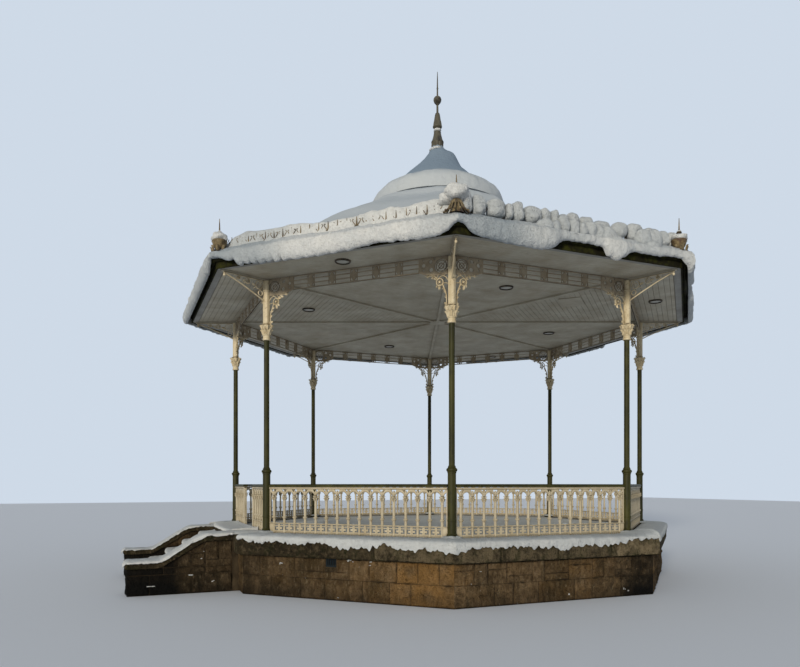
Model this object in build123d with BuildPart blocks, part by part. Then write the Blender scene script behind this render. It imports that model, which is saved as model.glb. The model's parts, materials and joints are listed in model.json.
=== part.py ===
from build123d import *

import os
from math import atan2, cos, degrees, pi, radians, sin, tan

os.makedirs("parts", exist_ok=True)

# An eight-sided bandstand. Origin at the centre of the octagon at ground level, +Z up.
# Side 1 faces -Y and holds the steps; sides and columns are numbered anticlockwise from there,
# seen from above, and column 1 stands between sides 1 and 2.
# Lengths are in millimetres, heights are above the ground unless they say otherwise.

# Plan
sides = 8
column_circle_radius = 4500.0
numbers = range(1, sides + 1)
half_turn = pi / sides
column_line = column_circle_radius * cos(half_turn)
side_length = 2 * column_circle_radius * sin(half_turn)

# Plinth
platform_height = 1000.0
wall_projection = 435.0
wall_thickness = 700.0
coping_height = 310.0
coping_overhang = 106.0
coping_weathering = 25.0
coping_width = 700.0
floor_thickness = 150.0
floor_bearing = 105.0
vent_width = 195.0
vent_height = 146.0
vent_clearance = 4.0
vent_offset = -200.0
vent_recess = 18.0
vent_plate = 12.0
vent_bars = 5

# Steps and wing walls
risers = 6
going = 330.0
stair_half_width = 1150.0
wing_thickness = 350.0
wing_level_run = 492.0
wing_slope_run = 740.0
wing_end_run = 520.0
wing_end_height = 555.0
wing_coping_depth = 95.0
wing_coping_overhang = 50.0
wing_curve = 320.0
wing_nose = 45.0

# Columns
base_size = 190.0
base_height = 50.0
base_torus = 85.0
base_sweep = 50.0
lower_shaft_radius = 68.0
collar_height = 1085.0
collar_radius = 85.0
collar_depth = 46.0
shaft_radius = 49.0
shaft_facets = 8
capital_height = 3424.0
capital_depth = 276.0
capital_neck = 90.0
capital_bell = 150.0
capital_bell_radius = 80.0
capital_radius = 118.0
capital_lip = 40.0
head_height = 1080.0
head_facets = 8
post_size = 126.0

# Balustrade
balusters = 16
baluster_width = 34.0
baluster_inset = 160.0
panel_thickness = 40.0
panel_lift = 12.0
panel_notch = 46.0
panel_notch_height = 110.0
panel_band = 220.0
panel_stile = 22.0
arch_top = 800.0
rail_underside = 840.0
handrail_depth = 43.0
handrail_width = 84.0
handrail_round = 18.0
entrance_width = 920.0
entrance_post = 78.0
seat_gap = 0.3

# Frieze and brackets
frieze_depth = 235.0
frieze_thickness = 24.0
frieze_squares = 5
frieze_square = 137.0
frieze_pitch = 410.0
frieze_stile = 16.0
frieze_bar = 28.0
haunch_depth = 300.0
haunch_run = 250.0
haunch_ring = 100.0
haunch_ring_offset = 175.0
haunch_ring_drop = 152.0
# Side brackets: a strip that leaves the post, runs up to a scroll and on to a tip under the frieze.
# Places are (distance from the column's centre, depth below the ceiling).
bracket_thickness = 30.0
bracket_strip = 22.0
bracket_foot = 797.0
bracket_spring = 664.0
bracket_sweep = (122.0, 562.0)
scroll_place = (205.0, 413.0)
scroll_radius = 68.0
scroll_eye = 40.0
curl_places = ((60.0, 386.0), (95.0, 345.0), (150.0, 324.0), (200.0, 354.0))
tip_places = ((232.0, 362.0), (290.0, 324.0), (400.0, 300.0))
scroll_facets = 6
# Brackets under the eaves: straight below, pierced by scrolls (distance, depth below the rib, radius)
eaves_bracket_drop = 337.0
eaves_bracket_reach = 850.0
eaves_bracket_lip = 20.0
eaves_scrolls = ((160.0, 96.0, 78.0), (389.0, 72.0, 54.0), (563.0, 50.0, 34.0))

# Ceiling and its fittings
ceiling_thickness = 30.0
eaves_overhang = 887.0
rib_width = 60.0
rib_depth = 30.0
boss_radius = 170.0
light_radius = 130.0
light_depth = 30.0
light_rim = 10.0
light_facets = 8
inner_light_setback = 1217.5
outer_light_reach = 402.5
hatch_radial = 430.0
hatch_along = 620.0
hatch_setback = 1131.5
hatch_offset = -579.0
hatch_depth = 14.0

# Eaves
eaves_depth = 196.0
fascia_thickness = 25.0
fascia_drop = 20.0
gutter_width = 80.0
gutter_depth = 105.0
gutter_wall = 10.0
cresting_setback = 144.0
cresting_height = 205.0
cresting_thickness = 12.0
cresting_spikes = 17
cresting_rail = 60.0
cresting_clearance = 60.0
# Corner ornaments: a bowl with a knob and a spike, as (radius, height over the eaves)
ornament_rings = (
    (45.0, 0.0), (45.0, 65.0), (125.0, 235.0), (125.0, 262.0), (26.0, 300.0), (26.0, 345.0), (42.0, 375.0), (42.0, 400.0), (12.0, 425.0), (5.0, 630.0)
)
ornament_setback = 28.0

# Roof
roof_rise = 1980.0
roof_top_radius = 1400.0
roof_thickness = 90.0
roof_plate = 84.0
upper_eaves_radius = 1450.0
upper_eaves_depth = 100.0
# The bell of the upper roof: corner radius and height over the top of its own eaves
bell_rings = ((1000.0, 480.0), (670.0, 720.0), (446.0, 1010.0), (210.0, 1320.0), (150.0, 1510.0))

# Finial: two bells and a stem, as (radius, height over its own foot), then a ball and a rod
finial_rings = (
    (134.0, 0.0), (134.0, 215.0), (78.0, 425.0), (60.0, 445.0), (60.0, 515.0), (100.0, 540.0), (100.0, 572.0), (52.0, 850.0), (22.0, 875.0)
)
finial_facets = 8
finial_ball_radius = 89.0
finial_ball_height = 1150.0
rod_radius = 11.0
rod_tip = 1785.0

# Sizes worked out from those above
wall_face = column_line + wall_projection
wall_back = wall_face - wall_thickness
coping_face = wall_face + coping_overhang
coping_back = coping_face - coping_width
wall_top = platform_height - coping_height
vent_middle = wall_top - vent_clearance - vent_height / 2
floor_underside = platform_height - floor_thickness
capital_foot = platform_height + capital_height
post_foot = capital_foot + capital_depth
ceiling_height = capital_foot + head_height
eaves_height = ceiling_height + eaves_depth
eaves_line = column_line + eaves_overhang
post_top = ceiling_height - rib_depth
gutter_face = eaves_line + fascia_thickness + gutter_width
roof_top_line = roof_top_radius * cos(half_turn)
roof_slope = roof_rise / (eaves_line - roof_top_line)
roof_taper = degrees(atan2(eaves_line - roof_top_line, roof_rise))
roof_top = eaves_height + roof_rise
finial_foot = roof_top + upper_eaves_depth + bell_rings[-1][1]


# The direction of a side or a column, in degrees anticlockwise from -Y
def side_angle(number):
    return 360.0 / sides * (number - 1)


def column_angle(number):
    return 360.0 / sides * (number - 0.5)


# A plane facing outward at a side, with its x to the right as seen from outside and its y upward
def side_plane(number, distance, height=0.0):
    turn = radians(side_angle(number))
    outward = (sin(turn), -cos(turn), 0)
    along = (cos(turn), sin(turn), 0)
    return Plane(origin=(distance * outward[0], distance * outward[1], height), x_dir=along, z_dir=outward)


# A level plane at a radius from the centre, with its x pointing outward
def level_plane(angle, distance, height):
    turn = radians(angle)
    outward = (sin(turn), -cos(turn), 0)
    return Plane(origin=(distance * outward[0], distance * outward[1], height), x_dir=outward, z_dir=(0, 0, 1))


# An upright plane through the centre line and a column, with its x outward from the column and its y up
def radial_plane(angle, distance, height=0.0):
    turn = radians(angle)
    outward = (sin(turn), -cos(turn), 0)
    sideways = (-cos(turn), -sin(turn), 0)
    return Plane(origin=(distance * outward[0], distance * outward[1], height), x_dir=outward, z_dir=sideways)


# The upright plane of a side seen from a column: x runs from the column along that side, y is upward
def arm_plane(angle, turn_sign, height):
    turn = radians(angle + turn_sign * (90 + 180.0 / sides))
    centre = (column_circle_radius * sin(radians(angle)), -column_circle_radius * cos(radians(angle)), height)
    return Plane(origin=centre, x_dir=(sin(turn), -cos(turn), 0), z_dir=(-cos(turn), -sin(turn), 0))


# A turned piece in flat facets, from rings of (radius, height over its foot) that go upward;
# it has a facet square to each of the two sides that meet at a column
def turned(angle, distance, foot, rings, facets):
    with BuildPart() as piece:
        for (low_radius, low), (high_radius, high) in zip(rings, rings[1:]):
            with BuildPart(mode=Mode.PRIVATE) as band:
                with BuildSketch(level_plane(angle, distance, foot + low)):
                    RegularPolygon(
                        max(low_radius, high_radius), facets, major_radius=False, rotation=180.0 / sides - 180.0 / facets
                    )
                extrude(amount=high - low, taper=degrees(atan2(abs(high_radius - low_radius), high - low)))
            if high_radius > low_radius:
                # a band that widens upward is the same frustum upside down
                add(band.part.mirror(Plane.XY.offset(foot + (low + high) / 2)))
            else:
                add(band.part)
    return piece.part


# A regular octagon with flat sides to the axes, given by the distance of its sides
def octagon(distance, mode=Mode.ADD):
    RegularPolygon(distance, sides, major_radius=False, rotation=180.0 / sides, mode=mode)


# Copies of what stands at side 1 or column 1, turned about the centre to others
def turned_copies(piece, numbers):
    return [piece.part.rotate(Axis.Z, side_angle(number)) for number in numbers]


def finish(piece, name):
    piece.part.label = name
    export_step(piece.part, f"parts/{name}.step")


def finish_copies(piece, name, numbers):
    for number, copy in zip(numbers, turned_copies(piece, numbers)):
        copy.label = f"{name}_{number}"
        export_step(copy, f"parts/{name}_{number}.step")


# Plinth
with BuildPart() as plinth_wall:
    with BuildSketch():
        octagon(wall_face)
        octagon(wall_back, mode=Mode.SUBTRACT)
    extrude(amount=wall_top)
    with BuildSketch(Plane.XY.offset(wall_top)):
        octagon(wall_back + floor_bearing)
        octagon(wall_back, mode=Mode.SUBTRACT)
    extrude(amount=floor_underside - wall_top)
    with BuildSketch(side_plane(2, wall_face, vent_middle)):
        with Locations((vent_offset, 0)):
            Rectangle(vent_width, vent_height)
    extrude(amount=-wall_thickness, mode=Mode.SUBTRACT)
finish(plinth_wall, "plinth_wall")

with BuildPart() as plinth_coping:
    with BuildSketch(Plane.XY.offset(wall_top)):
        octagon(coping_face)
        octagon(coping_back, mode=Mode.SUBTRACT)
    extrude(amount=coping_height)
    top_edges = plinth_coping.edges().group_by(Axis.Z)[-1]
    chamfer(top_edges.group_by(SortBy.LENGTH)[-1], length=coping_weathering)
finish(plinth_coping, "plinth_coping")

with BuildPart() as floor:
    with BuildSketch(Plane.XY.offset(floor_underside)):
        octagon(coping_back)
    extrude(amount=floor_thickness)
finish(floor, "floor")

# Vent in the wall, left of the middle of side 2
with BuildPart() as vent_grille:
    with BuildSketch(side_plane(2, wall_face - vent_recess, vent_middle)):
        with Locations((vent_offset, 0)):
            Rectangle(vent_width, vent_height)
            with GridLocations(vent_width / (vent_bars + 1), 0, vent_bars, 1):
                Rectangle(vent_width / (vent_bars + 1) / 2, vent_height * 0.7, mode=Mode.SUBTRACT)
    extrude(amount=-vent_plate)
finish(vent_grille, "vent_grille")

# Steps: stone blocks, each lying on the one below and running back to the plinth
riser = platform_height / risers
for number in range(1, risers):
    top = riser * number
    nose = coping_face + going * (risers - number)
    with BuildPart() as step:
        with BuildSketch(Plane.XY.offset(top - riser)):
            with Locations((0, -(nose + wall_face) / 2)):
                Rectangle(2 * stair_half_width, nose - wall_face)
        extrude(amount=riser)
        if top > wall_top:
            # the upper steps stop at the coping
            with BuildSketch(Plane.XY.offset(max(wall_top, top - riser))):
                octagon(coping_face)
            extrude(amount=riser, mode=Mode.SUBTRACT)
    finish(step, f"step_{number}")

# Wing walls: level with the platform, swept down, then level to their ends
wing_start = coping_face
wing_level = wing_start + wing_level_run
wing_foot = wing_level + wing_slope_run
wing_end = wing_foot + wing_end_run


def wing_top(lowering, nose=0.0):
    return (
        (-wing_start, platform_height - lowering),
        (-wing_level, platform_height - lowering),
        (-wing_foot, wing_end_height - lowering),
        (-wing_end - nose, wing_end_height - lowering),
    )


wing_sides = (("left", -1), ("right", 1))
for side_name, side_sign in wing_sides:
    inner_x = side_sign * stair_half_width
    with BuildPart() as wing_wall:
        with BuildSketch(Plane.YZ.offset(inner_x)):
            with BuildLine():
                crown = FilletPolyline(*wing_top(wing_coping_depth), radius=wing_curve)
                Polyline(
                    crown @ 1,
                    (-wing_end, 0),
                    (-wall_face, 0),
                    (-wall_face, wall_top),
                    (-coping_face, wall_top),
                    crown @ 0,
                )
            make_face()
        extrude(amount=side_sign * wing_thickness)
    finish(wing_wall, f"wing_wall_{side_name}")

    with BuildPart() as wing_coping:
        with BuildSketch(Plane.YZ.offset(inner_x - side_sign * wing_coping_overhang)):
            with BuildLine():
                crown = FilletPolyline(*wing_top(0, wing_nose), radius=wing_curve)
                bed = FilletPolyline(*wing_top(wing_coping_depth, wing_nose), radius=wing_curve)
                Line(crown @ 0, bed @ 0)
                Line(crown @ 1, bed @ 1)
            make_face()
        extrude(amount=side_sign * (wing_thickness + 2 * wing_coping_overhang))
        nose_edges = wing_coping.edges().filter_by(Axis.X).group_by(Axis.Y)[0]
        fillet(nose_edges, radius=wing_nose)
    finish(wing_coping, f"wing_coping_{side_name}")

# Columns: base plate, stout lower shaft, collar and slim upper shaft
column_turn = column_angle(1)
with BuildPart() as column:
    with BuildSketch(level_plane(column_turn, column_circle_radius, platform_height)):
        Rectangle(base_size, base_size)
    extrude(amount=base_height)
    shaft_rings = (
        (base_torus, base_height),
        (lower_shaft_radius, base_height + base_sweep),
        (lower_shaft_radius, collar_height),
        (collar_radius, collar_height + collar_depth / 3),
        (collar_radius, collar_height + collar_depth),
        (shaft_radius, collar_height + collar_depth * 1.6),
        (shaft_radius, capital_height),
    )
    add(turned(column_turn, column_circle_radius, platform_height, shaft_rings, shaft_facets))
finish_copies(column, "column", numbers)

# Column heads: leafy bell capital, post up to the rib, side brackets and the bracket under the eaves
with BuildPart() as head:
    capital_rings = (
        (post_size / 2, 0),
        (post_size / 2, capital_neck),
        (capital_bell_radius, capital_bell),
        (capital_radius, capital_depth - capital_lip),
        (capital_radius, capital_depth - capital_lip / 2),
        (capital_bell_radius, capital_depth),
    )
    add(turned(column_turn, column_circle_radius, capital_foot, capital_rings, head_facets))
    post_rings = ((post_size / 2, 0), (post_size / 2, post_top - post_foot))
    add(turned(column_turn, column_circle_radius, post_foot, post_rings, head_facets))
    # Side brackets lie in the planes of the two sides that meet at the column
    strip_line = (post_size + bracket_strip) / 2
    for turn_sign in (-1, 1):
        with BuildSketch(arm_plane(column_turn, turn_sign, ceiling_height)):
            with BuildLine():
                Polyline(
                    (strip_line, -bracket_foot),
                    (strip_line, -bracket_spring),
                    (bracket_sweep[0], -bracket_sweep[1]),
                    (scroll_place[0] - scroll_radius / 2, bracket_strip / 2 - scroll_place[1] - scroll_radius),
                )
            trace(line_width=bracket_strip)
            with BuildLine():
                Polyline(*[(place, -depth) for place, depth in curl_places])
            trace(line_width=bracket_strip)
            with BuildLine():
                Polyline(*[(place, -depth) for place, depth in tip_places])
            trace(line_width=bracket_strip)
            with Locations((scroll_place[0], -scroll_place[1])):
                RegularPolygon(scroll_radius, head_facets)
                RegularPolygon(scroll_eye, scroll_facets, mode=Mode.SUBTRACT)
        extrude(amount=bracket_thickness / 2, both=True)
    with BuildSketch(radial_plane(column_turn, column_circle_radius, post_top)):
        Polygon(
            (post_size / 2, -eaves_bracket_drop),
            (eaves_bracket_reach, -eaves_bracket_lip),
            (eaves_bracket_reach, 0),
            (0, 0),
            (0, -eaves_bracket_drop),
            align=None,
        )
        for place, depth, scroll in eaves_scrolls:
            with Locations((place, -depth)):
                RegularPolygon(scroll, scroll_facets, mode=Mode.SUBTRACT)
    extrude(amount=bracket_thickness / 2, both=True)
finish_copies(head, "column_head", numbers)


# Balustrade: cast panels with an arched gap between each baluster and the next, a rail on top,
# and a notch at each end that clears a column's base
baluster_pitch = (side_length - 2 * baluster_inset) / (balusters - 1)


def panel(low_x, high_x, low_stile, high_stile):
    half_gap = (baluster_pitch - baluster_width) / 2
    gap = (
        (-half_gap, panel_band),
        (half_gap, panel_band),
        (half_gap, arch_top - half_gap),
        (half_gap / 2, arch_top),
        (-half_gap / 2, arch_top),
        (-half_gap, arch_top - half_gap),
    )
    panel_height = rail_underside - panel_lift
    panel_middle = (rail_underside + panel_lift) / 2
    with Locations(((low_x + high_x) / 2, panel_middle)):
        Rectangle(high_x - low_x, panel_height)
    with GridLocations(baluster_pitch, 0, balusters + 1, 1):
        Polygon(*gap, align=None, mode=Mode.SUBTRACT)
    with Locations((low_x + low_stile / 2, panel_middle)):
        Rectangle(low_stile, panel_height)
    with Locations((high_x - high_stile / 2, panel_middle)):
        Rectangle(high_stile, panel_height)
    with Locations((-panel_reach, panel_lift), (panel_reach, panel_lift)):
        Rectangle(2 * panel_notch, 2 * panel_notch_height, mode=Mode.SUBTRACT)


panel_reach = side_length / 2 - lower_shaft_radius - seat_gap
with BuildPart() as balustrade:
    with BuildSketch(side_plane(1, column_line, platform_height)):
        panel(-panel_reach, panel_reach, panel_stile, panel_stile)
    extrude(amount=panel_thickness / 2, both=True)
finish_copies(balustrade, "balustrade", numbers[1:])

with BuildPart() as balustrade:
    with BuildSketch(side_plane(1, column_line, platform_height)):
        panel(-panel_reach, -entrance_width / 2, panel_stile, entrance_post)
    extrude(amount=panel_thickness / 2, both=True)
finish(balustrade, "balustrade_1_left")

with BuildPart() as balustrade:
    with BuildSketch(side_plane(1, column_line, platform_height)):
        panel(entrance_width / 2, panel_reach, entrance_post, panel_stile)
    extrude(amount=panel_thickness / 2, both=True)
finish(balustrade, "balustrade_1_right")

# Handrails: one rail over each panel
def rail(low_x, high_x):
    with BuildPart() as piece:
        with BuildSketch(side_plane(1, column_line, platform_height + rail_underside)):
            with Locations(((low_x + high_x) / 2, handrail_depth / 2)):
                Rectangle(high_x - low_x, handrail_depth)
        extrude(amount=handrail_width / 2, both=True)
        chamfer(piece.edges().group_by(Axis.Z)[-1].filter_by(Axis.X), length=handrail_round)
    return piece


with BuildPart() as handrails:
    add(turned_copies(rail(-panel_reach, panel_reach), numbers[1:]))
    add([rail(-panel_reach, -entrance_width / 2).part, rail(entrance_width / 2, panel_reach).part])
finish(handrails, "handrails")

# Friezes: one pierced band a side between the posts, under the ceiling, deeper beside the posts.
# Square panels alternate with open groups of bars, and each deep end has a ring.
frieze_reach = side_length / 2 - post_size / 2 - seat_gap
frieze_open = frieze_depth - 2 * frieze_bar
haunch_start = frieze_pitch * (frieze_squares + 1) / 2 - frieze_square / 2 + frieze_stile
with BuildPart() as frieze:
    with BuildSketch(side_plane(1, column_line, ceiling_height)):
        with Locations((0, -frieze_depth / 2)):
            Rectangle(2 * frieze_reach, frieze_depth)
            with GridLocations(frieze_pitch, 0, frieze_squares, 1):
                Rectangle(frieze_square - 2 * frieze_stile, frieze_open, mode=Mode.SUBTRACT)
            with GridLocations(frieze_pitch, 0, frieze_squares + 1, 1):
                Rectangle(frieze_pitch - frieze_square, frieze_open, mode=Mode.SUBTRACT)
        for end in (-1, 1):
            Polygon(
                (end * haunch_start, -frieze_depth),
                (end * (haunch_start + haunch_run), -haunch_depth),
                (end * frieze_reach, -haunch_depth),
                (end * frieze_reach, -frieze_depth),
                align=None,
            )
            with Locations((end * (side_length / 2 - haunch_ring_offset), -haunch_ring_drop)):
                RegularPolygon(haunch_ring, head_facets, mode=Mode.SUBTRACT)
    extrude(amount=frieze_thickness / 2, both=True)
with BuildPart() as friezes:
    add(turned_copies(frieze, numbers))
finish(friezes, "friezes")

# Ceiling, its ribs on the diagonals, and its fittings
with BuildPart() as ceiling:
    with BuildSketch(Plane.XY.offset(ceiling_height)):
        octagon(eaves_line)
    extrude(amount=ceiling_thickness)
finish(ceiling, "ceiling")

with BuildPart() as ceiling_ribs:
    with BuildSketch(Plane.XY.offset(post_top)):
        octagon(boss_radius)
        with PolarLocations(0, sides, start_angle=180.0 / sides):
            with Locations(((eaves_line - rib_width) / cos(half_turn) / 2, 0)):
                Rectangle((eaves_line - rib_width) / cos(half_turn), rib_width)
    extrude(amount=rib_depth)
finish(ceiling_ribs, "ceiling_ribs")

with BuildPart() as ceiling_hatch:
    with BuildSketch(level_plane(side_angle(4), column_line - hatch_setback, ceiling_height - hatch_depth)):
        with Locations((0, hatch_offset)):
            Rectangle(hatch_radial, hatch_along)
    extrude(amount=hatch_depth)
finish(ceiling_hatch, "ceiling_hatch")

light_rings = ((light_radius - light_rim, 0), (light_radius, light_depth - light_rim), (light_radius, light_depth))
light_foot = ceiling_height - light_depth
with BuildPart() as inner_light:
    add(turned(side_angle(1), column_line - inner_light_setback, light_foot, light_rings, light_facets))
with BuildPart() as outer_light:
    add(turned(side_angle(1), column_line + outer_light_reach, light_foot, light_rings, light_facets))
with BuildPart() as lights:
    add(turned_copies(inner_light, numbers[::2]) + turned_copies(outer_light, numbers[1::2]))
finish(lights, "lights")

# Lower roof: boards on a wall plate, straight up to the upper tier
roof_top_back = roof_top_line - roof_plate
plate_back = eaves_line - roof_plate
drop_inside = roof_thickness - roof_slope * roof_plate
with BuildPart() as lower_roof:
    with BuildSketch(Plane.XY.offset(ceiling_height + ceiling_thickness)):
        octagon(eaves_line)
    extrude(amount=eaves_height - ceiling_height - ceiling_thickness)
    with BuildSketch(Plane.XY.offset(eaves_height)):
        octagon(eaves_line)
    extrude(amount=roof_rise, taper=roof_taper)
    roof_solid = lower_roof.part
    with BuildSketch(Plane.XY.offset(ceiling_height + ceiling_thickness)):
        octagon(plate_back)
    extrude(amount=eaves_height - drop_inside - ceiling_height - ceiling_thickness, mode=Mode.SUBTRACT)
    with BuildSketch(Plane.XY.offset(eaves_height - drop_inside)):
        octagon(plate_back)
    extrude(amount=roof_rise, taper=roof_taper, mode=Mode.SUBTRACT)
    with BuildSketch(Plane.XY.offset(roof_top - drop_inside)):
        octagon(roof_top_back)
    extrude(amount=roof_thickness, mode=Mode.SUBTRACT)
finish(lower_roof, "lower_roof")

# Upper roof: a shallow bell that rises to the finial
with BuildPart() as upper_roof:
    with BuildSketch(Plane.XY.offset(roof_top)):
        octagon(upper_eaves_radius * cos(half_turn))
    extrude(amount=upper_eaves_depth)
    tiers = ((upper_eaves_radius, 0.0), *bell_rings)
    for (low_radius, low), (high_radius, high) in zip(tiers, tiers[1:]):
        with BuildSketch(Plane.XY.offset(roof_top + upper_eaves_depth + low)):
            octagon(low_radius * cos(half_turn))
        extrude(amount=high - low, taper=degrees(atan2((low_radius - high_radius) * cos(half_turn), high - low)))
finish(upper_roof, "upper_roof")

# Eaves: fascia board and gutter
with BuildPart() as fascia:
    with BuildSketch(Plane.XY.offset(ceiling_height - fascia_drop)):
        octagon(eaves_line + fascia_thickness)
        octagon(eaves_line, mode=Mode.SUBTRACT)
    extrude(amount=eaves_height - ceiling_height + fascia_drop)
finish(fascia, "fascia")

with BuildPart() as gutter:
    with BuildSketch(Plane.XY.offset(eaves_height - gutter_depth)):
        octagon(gutter_face)
        octagon(eaves_line + fascia_thickness, mode=Mode.SUBTRACT)
    extrude(amount=gutter_depth)
    outer_foot = gutter.edges().group_by(Axis.Z)[0].group_by(SortBy.LENGTH)[-1]
    chamfer(outer_foot, length=gutter_width / 2)
    with BuildSketch(Plane.XY.offset(eaves_height - gutter_depth + gutter_width / 2)):
        octagon(gutter_face - gutter_wall)
        octagon(eaves_line + fascia_thickness + gutter_wall, mode=Mode.SUBTRACT)
    extrude(amount=gutter_depth, mode=Mode.SUBTRACT)
finish(gutter, "gutter")

# Cresting: a comb of small spikes that stands on the roof behind the gutter
cresting_line = eaves_line - cresting_setback
cresting_foot = eaves_height + roof_slope * (cresting_setback + cresting_thickness / 2)
ornament_circle = (eaves_line - ornament_setback) / cos(half_turn)
ornament_radius = max(radius for radius, height in ornament_rings)
cresting_reach = cresting_line * tan(half_turn) - ornament_radius - cresting_clearance
with BuildPart() as comb_side:
    with BuildSketch(side_plane(1, cresting_line, cresting_foot)):
        pitch = 2 * cresting_reach / cresting_spikes
        comb = [(-cresting_reach, 0), (cresting_reach, 0)]
        for spike in range(cresting_spikes):
            right = cresting_reach - pitch * spike
            comb = comb + [(right, cresting_rail), (right - pitch / 2, cresting_height)]
        comb = comb + [(-cresting_reach, cresting_rail)]
        with BuildLine():
            Polyline(*comb, close=True)
        make_face()
    extrude(amount=cresting_thickness / 2, both=True)
with BuildPart() as cresting:
    add(turned_copies(comb_side, numbers))
finish(cresting, "cresting")

# Corner ornaments: bowls with a spike, scribed to the hips
with BuildPart() as ornament:
    add(turned(column_turn, ornament_circle, eaves_height, ornament_rings, head_facets))
    add(roof_solid, mode=Mode.SUBTRACT)
with BuildPart() as corner_ornaments:
    add(turned_copies(ornament, numbers))
finish(corner_ornaments, "corner_ornaments")

# Finial: two bells, a stem, a ball and a rod
ball_turns = [radians(turn) for turn in range(-75, 90, 25)]
ball_rings = [
    (finial_ball_radius * cos(turn), finial_ball_height + finial_ball_radius * sin(turn)) for turn in ball_turns
]
stem_ring = (finial_rings[-1][0], ball_rings[0][1])
rod_rings = [(rod_radius, ball_rings[-1][1]), (rod_radius / 2, rod_tip)]
with BuildPart() as finial:
    add(turned(0, 0, finial_foot, (*finial_rings, stem_ring), finial_facets))
    add(turned(0, 0, finial_foot, ball_rings, finial_facets))
    add(turned(0, 0, finial_foot, rod_rings, finial_facets))
finish(finial, "finial")
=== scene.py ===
import json
import math

import bmesh
import bpy
import numpy as np
from mathutils import Matrix, Vector, noise


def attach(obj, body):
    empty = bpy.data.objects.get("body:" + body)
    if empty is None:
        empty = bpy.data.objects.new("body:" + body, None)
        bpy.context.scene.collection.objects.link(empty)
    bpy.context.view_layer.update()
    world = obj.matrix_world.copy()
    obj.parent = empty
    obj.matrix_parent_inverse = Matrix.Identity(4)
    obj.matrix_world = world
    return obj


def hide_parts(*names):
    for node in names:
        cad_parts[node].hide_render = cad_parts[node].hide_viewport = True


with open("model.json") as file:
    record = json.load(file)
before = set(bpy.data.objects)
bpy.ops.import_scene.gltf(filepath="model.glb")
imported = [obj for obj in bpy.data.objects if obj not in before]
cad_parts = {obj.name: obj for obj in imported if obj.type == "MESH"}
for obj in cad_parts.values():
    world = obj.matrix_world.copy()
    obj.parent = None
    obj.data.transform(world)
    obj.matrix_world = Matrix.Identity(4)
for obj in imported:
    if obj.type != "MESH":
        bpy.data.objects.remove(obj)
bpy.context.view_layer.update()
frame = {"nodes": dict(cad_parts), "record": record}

# Where the eight sides and columns stand, in metres
plan = {
    "sides": 8,
    "columnCircle": 4.5,
    "columnLine": 4.5 * math.cos(math.pi / 8),
    "platform": 1.0,
    "capitalFoot": 4.424,
    "ceiling": 5.504,
    "eaves": 5.7,
    "eavesLine": 4.5 * math.cos(math.pi / 8) + 0.887,
    "wallFace": 4.59246,
    "copingFace": 4.69846,
}
halfTurn = math.pi / plan["sides"]
sideNumbers = range(1, plan["sides"] + 1)


# Placing: side 1 faces -y, and the numbers run on towards +x
def directionAt(turn):
    return Vector((math.sin(turn), -math.cos(turn), 0))


def sideTurn(number):
    return 2 * halfTurn * (number - 1)


def columnTurn(number):
    return sideTurn(number) + halfTurn


def sideMatrix(number, distance=0, height=0):  # x along the side, y inward, z up
    outward = directionAt(sideTurn(number))
    along = Vector((-outward.y, outward.x, 0))
    axes = Matrix((along, -outward, (0, 0, 1))).transposed().to_4x4()
    return Matrix.Translation(outward * distance + Vector((0, 0, height))) @ axes


def outwardMatrix(start, direction):  # x along a level direction from a point
    axes = Matrix((direction, Vector((-direction.y, direction.x, 0)), (0, 0, 1))).transposed().to_4x4()
    return Matrix.Translation(start) @ axes


def armMatrix(number, hand, height):  # x from a column along one of its two sides
    outward = directionAt(columnTurn(number))
    arm = directionAt(columnTurn(number) + hand * (math.pi / 2 + halfTurn))
    return outwardMatrix(outward * plan["columnCircle"] + Vector((0, 0, height)), arm)


def radialMatrix(number, height, circle=plan["columnCircle"]):  # x outward from a column
    outward = directionAt(columnTurn(number))
    return outwardMatrix(outward * circle + Vector((0, 0, height)), outward)


def rough(x, y, z, size, seed=0.0):  # smooth noise from -1 to 1 at a size in metres
    return noise.noise(Vector((x / size + seed, y / size - seed, z / size + 2 * seed)))


# a value with layers of noise added: (strength, z, size) and maybe a seed
def uneven(value, x, y, *layers):
    for strength, *more in layers:
        value += strength * rough(x, y, *more)
    return value


def readTable(table, x):  # a value between (place, value) pairs
    return float(np.interp(x, [place for place, value in table], [value for place, value in table]))


def sideValue(tables, number, x, usual):  # the same where only some sides have a table
    return readTable(tables.get(number, ((0, usual),)), x)


def clamped(x):
    return min(1.0, max(0.0, x))


def eased(low, high, x):  # 0 below low, 1 above high, smooth between
    share = clamped((x - low) / (high - low))
    return share * share * (3 - 2 * share)


def joined(shapes):
    points, faces = [], []
    for shapePoints, shapeFaces in shapes:
        start = len(points)
        points.extend(shapePoints)
        faces.extend([tuple(corner + start for corner in face) for face in shapeFaces])
    return points, faces


def onEachSide(shape, distance, height):
    return joined([moved(shape, sideMatrix(number, distance, height)) for number in sideNumbers])


def moved(shape, matrix):
    return [matrix @ Vector(point) for point in shape[0]], shape[1]


def lofted(loops, closed=False):  # equal loops of points, joined in turn and capped
    count = len(loops[0])
    points = [point for loop in loops for point in loop]
    faces = []
    spans = len(loops) if closed else len(loops) - 1
    for step in range(spans):
        low, high = step * count, (step + 1) % len(loops) * count
        for place in range(count):
            following = (place + 1) % count
            faces.append((low + place, low + following, high + following, high + place))
    if not closed:
        faces.append(tuple(reversed(range(count))))
        faces.append(tuple(range((len(loops) - 1) * count, len(loops) * count)))
    return points, faces


def roundLoop(x, y, radius, steps, start=0.0):
    turns = [2 * math.pi * step / steps + start for step in range(steps)]
    return [(x + radius * math.cos(turn), y + radius * math.sin(turn)) for turn in turns]


def turnedShape(rings, segments, start=0.0):  # rings of (radius, height) going up
    loops = [(roundLoop(0, 0, radius, segments, start), height) for radius, height in rings]
    return lofted([[(x, y, height) for x, y in loop] for loop, height in loops])


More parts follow.
